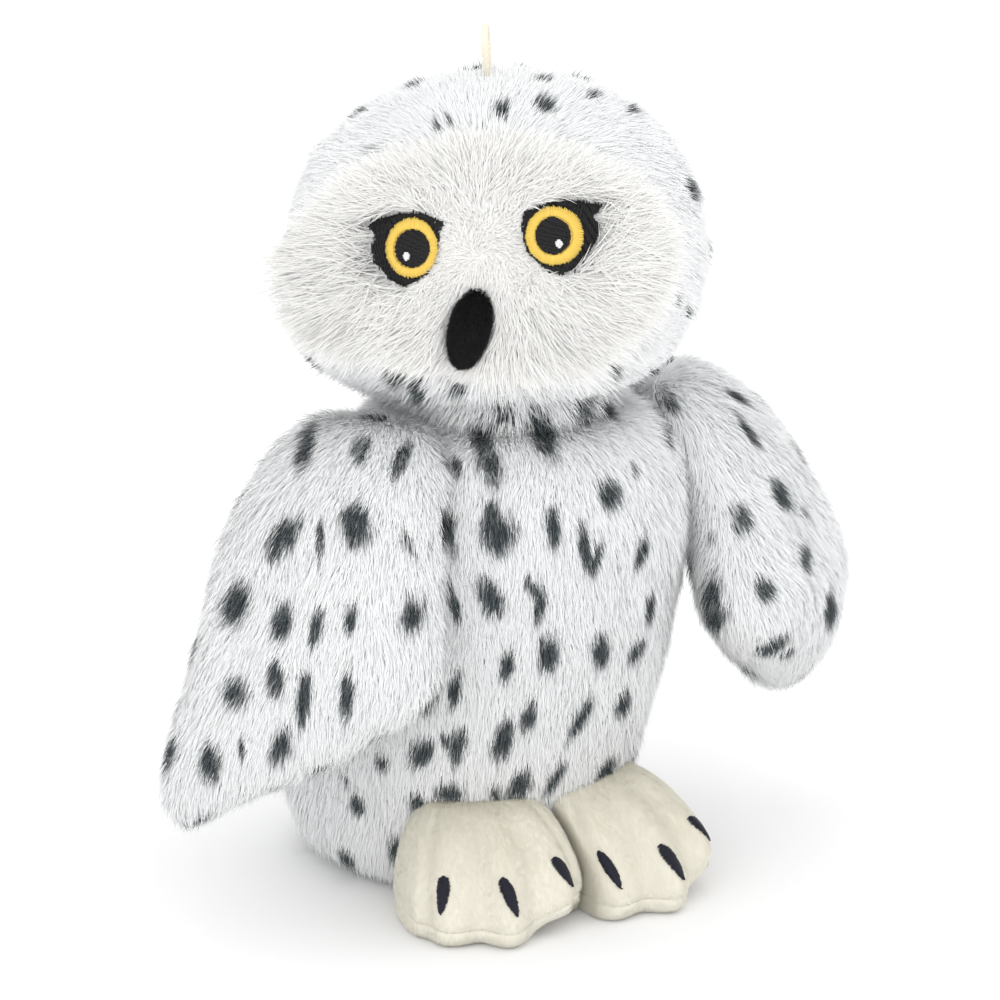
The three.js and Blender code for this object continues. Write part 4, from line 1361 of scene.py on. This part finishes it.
under_seam = HEAD_RIM + UNDER_SEAM_HEIGHT
head_parts = {
    "under": kept_skin(head_skin, lambda p: (head_height(p) < under_seam) & ~in_face(p)),
    "left": kept_skin(head_skin, lambda p: (head_height(p) > under_seam) & ~in_face(p) & (head_side(p) > 0)),
    "right": kept_skin(head_skin, lambda p: (head_height(p) > under_seam) & ~in_face(p) & (head_side(p) < 0)),
}
torso_parts = {
    "base": kept_skin(torso_skin, lambda p: p[:, 2] < BASE_SEAM_HEIGHT),
    "front_left": kept_skin(torso_skin, lambda p: (p[:, 2] > BASE_SEAM_HEIGHT) & (p[:, 1] < 0) & (p[:, 0] > 0)),
    "front_right": kept_skin(torso_skin, lambda p: (p[:, 2] > BASE_SEAM_HEIGHT) & (p[:, 1] < 0) & (p[:, 0] < 0)),
    "back_left": kept_skin(torso_skin, lambda p: (p[:, 2] > BASE_SEAM_HEIGHT) & (p[:, 1] > 0) & (p[:, 0] > 0)),
    "back_right": kept_skin(torso_skin, lambda p: (p[:, 2] > BASE_SEAM_HEIGHT) & (p[:, 1] > 0) & (p[:, 0] < 0)),
}
strewn(torso_skin, torso_flow, 5000, 31)
for part in head_parts.values():
    strewn(part, head_flow, 2500, 32, 15)
wing_parts = {}
for suffix, halves in wing_skins.items():
    for half, skin_piece in halves.items():
        part = outside(skin_of(skin_piece), [torso_tree], 0.8)
        wing_parts[suffix, half] = part
        strewn(part, wing_flow(suffix), 2500, 33)

TORSO_COUNTS = {"base": 8000, "front_left": 58000, "front_right": 58000, "back_left": 38000, "back_right": 38000}
for k, (part, count) in enumerate(TORSO_COUNTS.items()):
    length = 3.0 if part == "base" else PILE_LENGTH
    plush(f"torso_{part}_pile", torso_parts[part], count, torso_flow, "torso", "spotted_plush",
          spotted_pile, 40 + 10 * k, length)
HEAD_COUNTS = {"under": 14000, "left": 52000, "right": 52000}
for k, (part, count) in enumerate(HEAD_COUNTS.items()):
    plush(f"head_{part}_pile", head_parts[part], count, head_flow, "head", "spotted_plush",
          spotted_pile, 100 + 10 * k)
for k, ((suffix, half), part) in enumerate(wing_parts.items()):
    count = 36000 if half == "outer" else 25000
    plush(f"wing_{suffix}_{half}_pile", part, count, wing_flow(suffix), f"wing_{suffix}", "spotted_plush",
          spotted_pile, 140 + 10 * k)
plush("neck_pile", skin_of(neck_form), 9000, torso_flow, "neck", "spotted_plush", spotted_pile, 200,
      9.0, rise=0.75, sweep=0.5)


# Pile of the feet and beak: velboa sheared to about a millimetre, and black plush of 2 mm.
VELBOA_LENGTH = 1.3
BEAK_PILE_LENGTH = 2.0
# The velboa root colour, a little darker than its tip colour, is painted shade low in the nap.
velboa_pile = pile_finish(
    "velboa_pile", colour(0.89, 0.86, 0.76), colour(0.86, 0.83, 0.72), colour(0.89, 0.86, 0.76),
    colour(0.86, 0.83, 0.72), 0.85,
)
# The black pile's root colour, far darker than its tip colour, is painted shade deep in the pile.
black_pile = pile_finish(
    "black_pile", colour(0.013, 0.013, 0.014), colour(0.0015, 0.0015, 0.0015), colour(0.02, 0.02, 0.02),
    colour(0.01, 0.01, 0.01), 0.8,
)
for k, (suffix, foot_form) in enumerate(foot_forms.items()):
    part = outside(skin_of(foot_form), [torso_tree], 0.9)
    raised = toe_raised(FEET[suffix])
    part = kept_skin(part, lambda p: (p[:, 2] > 0.3) & (abs((2 * p - raised(p))[:, 2] - SOLE_SEAM_HEIGHT) > 0.5))
    plush(f"foot_{suffix}_nap", part, 60000, torso_flow, f"foot_{suffix}", "cream_velboa", velboa_pile,
          220 + 10 * k, VELBOA_LENGTH, width=0.24, rise=0.28, sweep=0.9, stations=(0, 1), clump=1.4, pull=0.0,
          stray=0.35, fluff=0.08, printed=False)


def beak_flow(points, normals):
    down = (head_frame @ beak_turn).to_3x3() @ Vector((0, -0.1, -1))
    return along_skin(np.tile(np.array(down), (len(points), 1)), normals)


beak_part = outside(skin_of(beak_form), [head_tree], 0.4)
plush("beak_pile", beak_part, 9000, beak_flow, "head", "black_plush", black_pile, 250,
      BEAK_PILE_LENGTH, width=0.24, rise=0.6, sweep=0.7, clump=1.2, printed=False)


# Eyes: a patch of black fill stitches, a padded ring of yellow satin stitches, a black pupil in rows
# and a small white highlight, worked through the face before its pile is brushed out round them.
RING_STITCHES = 106
RING_THREAD = 0.36
THREAD_WIDTH = 0.42
THREAD_PITCH = 0.36
FILL_STITCH = 3.4
THREAD_HEIGHT = 2
PATCH_LIFT = 1.15
PUPIL_LIFT = 2.3
RING_LIFT = 2.45
HIGHLIGHT_LIFT = 2.65
EYES_SEEN = {
    # in pixels of the picture: corners of the patch, and middle, half width and half height of ovals
    "left": {
        "patch": [
            (524, 210.5), (538, 204), (555, 199), (575, 197.5), (588, 200.5), (598, 201), (605, 203), (602, 210),
            (595.5, 213.5), (601, 223), (601, 237), (592, 250), (584, 262), (576, 270), (563, 275), (548, 271),
            (538, 262), (527, 252), (523, 237), (522, 223),
        ],
        "ring": (555, 235.5, 29.3, 29.5),
        "pupil": (553.3, 235.5, 18.7, 18.7),
        "highlight": (559, 243.3, 4.6, 4),
    },
    "right": {
        "patch": [
            (365, 224.5), (371, 219.5), (380, 215.5), (398, 211.5), (421, 212), (436, 217.5), (444.5, 223.5),
            (439, 232), (437, 250), (433, 266), (427, 274.5), (415, 282), (401.5, 288.5), (387, 281), (381, 272),
            (371.5, 263), (369, 247), (373, 233.5),
        ],
        "ring": (411.7, 247.7, 25.6, 30),
        "pupil": (412.4, 248.2, 18.3, 19.2),
        "highlight": (407, 255.7, 4, 4.3),
    },
}


def on_face(column, row):
    """Across the face and height over the rim, in mm, under what a pixel of the picture shows."""
    half = PICTURE_PIXELS / 2
    ray = -back * VIEW_DISTANCE + right * (column - half) * PIXEL + up * (half - row) * PIXEL
    place, normal, _, _ = head_tree.ray_cast(Vector(eye), Vector(ray))
    way = Vector(unit(ray))
    place += (way / way.dot(normal) - normal) * THREAD_HEIGHT * MM
    place = head_frame.inverted() @ place
    return place.x / MM, place.z / MM - HEAD_RIM


def oval(middle_column, middle_row, half_wide, half_high, steps=48):
    """Corners of an oval on the face, clockwise from its top."""
    turns = [2 * math.pi * k / steps for k in range(steps)]
    return np.array([
        on_face(middle_column + half_wide * math.sin(t), middle_row - half_high * math.cos(t)) for t in turns
    ])


def eye_outline(suffix, part, grow=0.0):
    """Corners of a part of an eye across and up the face, in mm."""
    shape = EYES_SEEN[suffix][part]
    if part != "patch":
        corners = oval(*shape)
    else:
        corners = np.array([on_face(*corner) for corner in shape])
    return corners + unit(corners - corners.mean(axis=0)) * grow


def within(places, corners):
    """Whether places lie inside a polygon."""
    inside = np.zeros(len(places), bool)
    x, y = places[:, 0], places[:, 1]
    for (x0, y0), (x1, y1) in zip(corners, np.roll(corners, -1, axis=0)):
        crosses = (y0 > y) != (y1 > y)
        inside ^= crosses & (x < (x1 - x0) * (y - y0) / (y1 - y0 if y1 != y0 else 1e-9) + x0)
    return inside


def face_surface(across, height):
    """Point in mm on the face in the head's frame."""
    wide, front, _ = head_section(height)
    return np.array([across, -front * math.sqrt(max(0, 1 - (across / wide) ** 2)), HEAD_RIM + height])


def lifted(surface, first, second, lift):
    """A point over a surface and its normal there."""
    here = surface(first, second)
    one = surface(first + 0.2, second) - here
    two = surface(first, second + 0.2) - here
    normal = unit(np.cross(one, two))
    return here + normal * lift, normal


def stitches(name, surface, lines, lift, material, body, frame_of_piece, width=THREAD_WIDTH):
    """Threads that enter the cloth at both ends and arch over it; each is a tube of six sides."""
    shares = np.array([0, 0.12, 0.5, 0.88, 1])
    bulge = np.array([-0.55, 0.06, 0.16, 0.06, -0.55])
    sizes = np.array([0.45, 0.9, 1, 0.9, 0.45])
    verts, faces = [], []
    for start, stop in lines:
        start, stop = np.array(start), np.array(stop)
        rings = [lifted(surface, *(start + (stop - start) * share), lift) for share in shares]
        run = unit(rings[-1][0] - rings[0][0])
        first = len(verts)
        for (place, normal), rise, size in zip(rings, bulge, sizes):
            beside = unit(np.cross(run, normal))
            for k in range(6):
                angle = math.pi / 3 * k
                verts.append(
                    place + normal * (rise + 0.42 * width * size * math.sin(angle))
                    + beside * 0.5 * width * size * math.cos(angle)
                )
        for r in range(4):
            for k in range(6):
                a, b = first + 6 * r + k, first + 6 * r + (k + 1) % 6
                faces.append((a, b, b + 6, a + 6))
        faces.append(tuple(reversed(range(first, first + 6))))
        faces.append(tuple(range(first + 24, first + 30)))
    piece = new_piece(name, np.array(verts) * MM, faces, material)
    piece.data.transform(frame_of_piece)
    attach(piece, body)
    return piece


def thread_finish(name, light, dark):
    """Shiny twisted thread."""
    finish = Finish(name)
    streaks = finish.noise(2400, 2)
    base = finish.mix(streaks, dark, light)
    return principled(finish, base, 0.45, streaks, 0.05, Specular_IOR_Level=0.3)


def rows_of(inside, low, high, upright, chance, fray=0.2):
    """Lines of fill stitches, staggered from row to row, where a test holds."""
    lines = []
    steps = np.arange(low[1 if upright else 0], high[1 if upright else 0], 0.08)
    for r, row in enumerate(np.arange(low[0 if upright else 1], high[0 if upright else 1], THREAD_PITCH)):
        places = np.stack([np.full(len(steps), row), steps], 1)
        places = places if upright else places[:, ::-1]
        held = inside(places).astype(int)
        edges = np.flatnonzero(np.diff(np.concatenate([[0], held, [0]])))
        for start, stop in edges.reshape(-1, 2):
            run_start, run_stop = steps[start], steps[stop - 1]
            if run_stop - run_start < 0.5:
                continue
            cuts = np.arange(run_start - (r % 3) * FILL_STITCH / 3, run_stop, FILL_STITCH)
            cuts = [run_start, *cuts[(cuts > run_start + 0.9) & (cuts < run_stop - 0.9)], run_stop]
            for one, two in zip(cuts, cuts[1:]):
                one += chance.normal(0, fray) if one == run_start else -0.1
                two += chance.normal(0, fray) if two == run_stop else 0.1
                ends = [(row, one), (row, two)] if upright else [(one, row), (two, row)]
                lines.append(ends)
    return lines


def plate(name, surface, corners, lift, material, frame_of_piece):
    """Thin padding under fill stitches, with its edge turned down into the cloth."""
    middle = corners.mean(axis=0)
    rings = [(0.35, lift), (0.7, lift), (0.97, lift), (1, lift - 0.9)]
    points = [lifted(surface, *middle, lift)[0]]
    for share, height in rings:
        points += [lifted(surface, *(middle + (corner - middle) * share), height)[0] for corner in corners]
    count = len(corners)
    faces = [(0, 1 + k, 1 + (k + 1) % count) for k in range(count)]
    for r in range(len(rings) - 1):
        for k in range(count):
            a, b = 1 + r * count + k, 1 + r * count + (k + 1) % count
            faces.append((a, a + count, b + count, b))
    piece = new_piece(name, np.array(points) * MM, faces, material)
    piece.data.transform(frame_of_piece)
    return piece


black_thread = thread_finish("black_thread", colour(0.022, 0.022, 0.024), colour(0.008, 0.008, 0.009))
yellow_thread = thread_finish("yellow_thread", colour(0.92, 0.69, 0.17), colour(0.84, 0.57, 0.09))
white_thread = thread_finish("white_thread", colour(0.88, 0.88, 0.88), colour(0.75, 0.75, 0.76))
for suffix, side in {"left": 1, "right": -1}.items():
    chance = np.random.default_rng(270 + side)
    shapes = {part: eye_outline(suffix, part) for part in EYES_SEEN[suffix]}
    inner = oval(*EYES_SEEN[suffix]["pupil"], RING_STITCHES)
    outer = oval(*EYES_SEEN[suffix]["ring"], RING_STITCHES)
    ring = [
        (near + unit(near - far) * chance.normal(0.05, 0.09), far + unit(far - near) * chance.normal(0.1, 0.12))
        for near, far in zip(inner, outer)
    ]
    threads = {
        "patch": (PATCH_LIFT, 0.1, black_thread, "black_thread", 0.3),
        "ring": (RING_LIFT, 0.4, yellow_thread, "yellow_thread", 0),
        "pupil": (PUPIL_LIFT, 0.1, black_thread, "black_thread", 0.05),
        "highlight": (HIGHLIGHT_LIFT, 0.1, white_thread, "white_thread", 0.05),
    }
    for part, (lift, sunk, material, slot, fray) in threads.items():
        corners = shapes[part]

        def inside(places):
            held = within(places, corners)
            return held & ~within(places, shapes["ring"]) if part == "patch" else held

        lines = ring
        if part != "ring":
            low, high = corners.min(axis=0) - 1, corners.max(axis=0) + 1
            lines = rows_of(inside, low, high, part == "patch", chance, fray)
        stitches(
            f"eye_{part}_{suffix}_stitches", face_surface, lines, lift, material, "head", head_frame,
            RING_THREAD if part == "ring" else THREAD_WIDTH,
        )
        padding = plate(
            f"eye_{part}_{suffix}_padding", face_surface, eye_outline(suffix, part, -0.2), lift - sunk,
            material, head_frame,
        )
        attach(padding, "head")
        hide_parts(f"eye_{part}_{suffix}")


# Claws: three drops of navy satin stitches on each foot, broad above and pointed below.
CLAW_HEIGHT = 14.5
CLAW_LENGTH = 8.6
CLAW_HALF_WIDTH = 1.8
CLAW_LIFT = 0.45
CLAW_PITCH = 0.26
CLAWS = {"inner": -1, "middle": 0, "outer": 1}
navy_thread = thread_finish("navy_thread", colour(0.022, 0.021, 0.038), colour(0.008, 0.008, 0.016))
for suffix, stance in FEET.items():
    mirror = Matrix.Diagonal((stance["side"], 1, 1, 1))

    def foot_surface(turn, height):
        return foot_point(stance, turn, height)

    for claw, toe in CLAWS.items():
        chance = np.random.default_rng(290 + toe)
        lines = []
        for q in np.arange(-1, 1, 2 * CLAW_PITCH / CLAW_LENGTH):
            half = CLAW_HALF_WIDTH * (1 + q) ** 0.9 * (1 - q) ** 0.4 / 1.104 + 0.12
            half /= math.radians(FOOT_HALF_WIDTH)
            height = CLAW_HEIGHT + CLAW_LENGTH / 2 * q
            turn = toe * TOE_ANGLE - stance["leans"][toe + 1] * q * stance["side"]
            ends = chance.normal(0, 0.25, 2)
            lines.append(((turn - half + ends[0], height), (turn + half + ends[1], height)))
        piece = stitches(
            f"foot_{suffix}_claw_{claw}_stitches", foot_surface, lines, CLAW_LIFT, navy_thread,
            f"foot_{suffix}", mirror,
        )
        if stance["side"] < 0:
            piece.data.flip_normals()
        placed_vertices(piece, toe_raised(stance))
        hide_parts(f"foot_{suffix}_claw_{claw}")


# Pile of the face: white fibres up to 18 mm long, brushed outwards from the middle of the face. They are
# trimmed short between and round the eyes, stand up in a fluffy rim that ends a little past the seam,
# and sweep sideways in long locks beside the beak.
FACE_LENGTH = 13
FACE_TRIMMED = 2.8
FACE_COUNT = 40000
FACE_MIDDLE_HEIGHT = 42
FACE_REACH = 2.5
CHIN_REACH = 0.5
CHEEK_REACH = 15
LOCK_LENGTH = 19
LOCK_REACH = 5
EYE_CLEARANCE = 0.15
FACE_STATIONS = (0, 0.22, 0.5, 0.78, 1)
face_pile = pile_finish(
    "face_pile", colour(0.95, 0.945, 0.925), colour(0.95, 0.945, 0.925), colour(0.95, 0.945, 0.925),
    colour(0.95, 0.945, 0.925), 0.8,
)


def face_places(points):
    """Across the face and height over the rim, in mm, of points in the world."""
    local = matrix_applied(head_frame.inverted(), points) / MM
    return np.stack([local[:, 0], local[:, 2] - HEAD_RIM], 1)


def lock_share(places):
    """1 in the middle of the locks on the two sides of the beak, and 0 away from them."""
    return np.exp(-(((np.abs(places[:, 0]) - 16) / 11) ** 2) - ((places[:, 1] - 15) / 7) ** 2)


def face_directions(places):
    """Way of each fibre in the plane of the face."""
    ways = unit(places - [0, FACE_MIDDLE_HEIGHT]) - [0, 0.15]
    side = np.tanh(places[:, 0] / 5)
    swept = np.stack([side, -0.3 - 0.4 * (places[:, 0] < 0)], 1)
    share = lock_share(places)[:, None]
    return unit(ways * (1 - share) + 1.4 * swept * share)


def reach_to_rim(places, ways):
    """How far a place is from the rim of the face panel along its fibre, in mm."""
    halves = np.array([LONG_PILE_HALF_WIDTH, LONG_PILE_HALF_HEIGHT])
    x = (places - [0, LONG_PILE_CENTRE]) / halves
    u = ways / halves
    a, b, c = np.sum(u * u, axis=1), np.sum(x * u, axis=1), np.sum(x * x, axis=1) - 1
    return (-b + np.sqrt(np.maximum(0, b * b - a * c))) / a


def cheek_share(places):
    """1 on the fluffed out cheek at the owl's right, and 0 away from it."""
    return np.clip((-places[:, 0] - 24) / 12, 0, 1) * np.exp(-(((places[:, 1] - 32) / 12) ** 2))


def face_lengths(places, ways, blocks, chance):
    """Trimmed in the middle, long in the locks, past the rim by little, and never over the blocks."""
    away = np.linalg.norm(places - [0, FACE_MIDDLE_HEIGHT], axis=1)
    grow = np.clip((away - 9) / 19, 0, 1)
    lengths = FACE_TRIMMED + (FACE_LENGTH - FACE_TRIMMED) * grow * grow * (3 - 2 * grow)
    lengths += (LOCK_LENGTH - lengths) * lock_share(places) * np.where(places[:, 0] > 0, 1, 0.3)
    cheek = cheek_share(places)
    chin = np.clip((24 - places[:, 1]) / 12, 0, 1)
    margin = FACE_REACH + (CHEEK_REACH - FACE_REACH) * cheek + (CHIN_REACH - FACE_REACH) * chin
    margin = margin + LOCK_REACH * lock_share(places) * (places[:, 0] > 0)
    limit = (reach_to_rim(places, ways) + margin + chance.normal(0, 1.2, len(places))) / (0.72 + 0.3 * chin)
    lengths = np.minimum(lengths * chance.uniform(0.75, 1.12, len(places)), np.maximum(limit, 5.5 - 2 * chin))
    for step in np.arange(1, 19, 0.75):
        covered = np.zeros(len(places), bool)
        for corners in blocks:
            covered |= within(places + ways * step, corners)
        lengths = np.where(covered & (lengths * 0.8 > step - 0.4), np.maximum(step - 0.6, 2) / 0.8, lengths)
    return lengths


beak_line = []
for share in np.linspace(0, 1, 14):
    beak_line.append((profile_at(BEAK_ROWS, share)[0] * BEAK_WIDTH / 2, -BEAK_LENGTH * (1 - share)))
beak_line += [(-x, z) for x, z in reversed(beak_line)]
lean = math.radians(BEAK_LEAN)
beak_corners = np.array([
    (x * math.cos(lean) + z * math.sin(lean), BEAK_TOP + z * math.cos(lean) - x * math.sin(lean))
    for x, z in beak_line
]) + [BEAK_SHIFT[0], BEAK_SHIFT[2]]
blocks = [eye_outline(suffix, "patch", EYE_CLEARANCE) for suffix in ("right", "left")]
chance = np.random.default_rng(300)
face_skin = kept_skin(head_skin, in_face)
roots, normals = roots_on(face_skin, FACE_COUNT, 301)
places = face_places(roots)
free = ~np.any([within(places, corners) for corners in [*blocks, beak_corners]], axis=0)
roots, normals, places = roots[free], normals[free], places[free]
ways = face_directions(places)
patch_gaps = np.min([np.linalg.norm(places - corner, axis=1) for corner in np.vstack(blocks)], axis=0)
ways = unit(ways + chance.normal(0, 1, ways.shape) * (0.12 + 0.7 * np.exp(-patch_gaps / 3))[:, None])
lengths = face_lengths(places, ways, [*blocks, beak_corners], chance)
world_ways = np.stack([ways[:, 0], 0 * ways[:, 0], ways[:, 1]], 1) @ np.array(head_frame)[:3, :3].T
away = np.linalg.norm(places - [0, FACE_MIDDLE_HEIGHT], axis=1)
laid = np.clip((away - 8) / 22, 0, 1)
world_ways += (0.9 - 0.6 * laid)[:, None] * drift(roots, 6, 9)
standing = (0.42 + 0.18 * laid) * (1 - 0.55 * np.clip((22 - places[:, 1]) / 12, 0, 1))
standing += 0.5 * cheek_share(places)
sweeping = 0.62 + 0.13 * laid
for suffix, side in {"left": 1, "right": -1}.items():
    mine = places[:, 0] * side > 0
    piece = grown(
        f"face_{suffix}_pile", roots[mine], normals[mine], world_ways[mine], lengths[mine] * MM, face_pile,
        303 + side, width=0.24, rise=standing[mine], sweep=sweeping[mine], stations=FACE_STATIONS,
        clump=3, pull=0.12, droop=0.05, stray=1.8, fluff=0.19, leaning=0.12,
        printed=False,
    )
    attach(piece, "head")


helper_forms = [torso_form, head_form, neck_form, beak_form, *foot_forms.values()]
helper_forms += [half for halves in wing_skins.values() for half in halves.values()]
for form in helper_forms:
    bpy.data.objects.remove(form)

low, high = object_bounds()
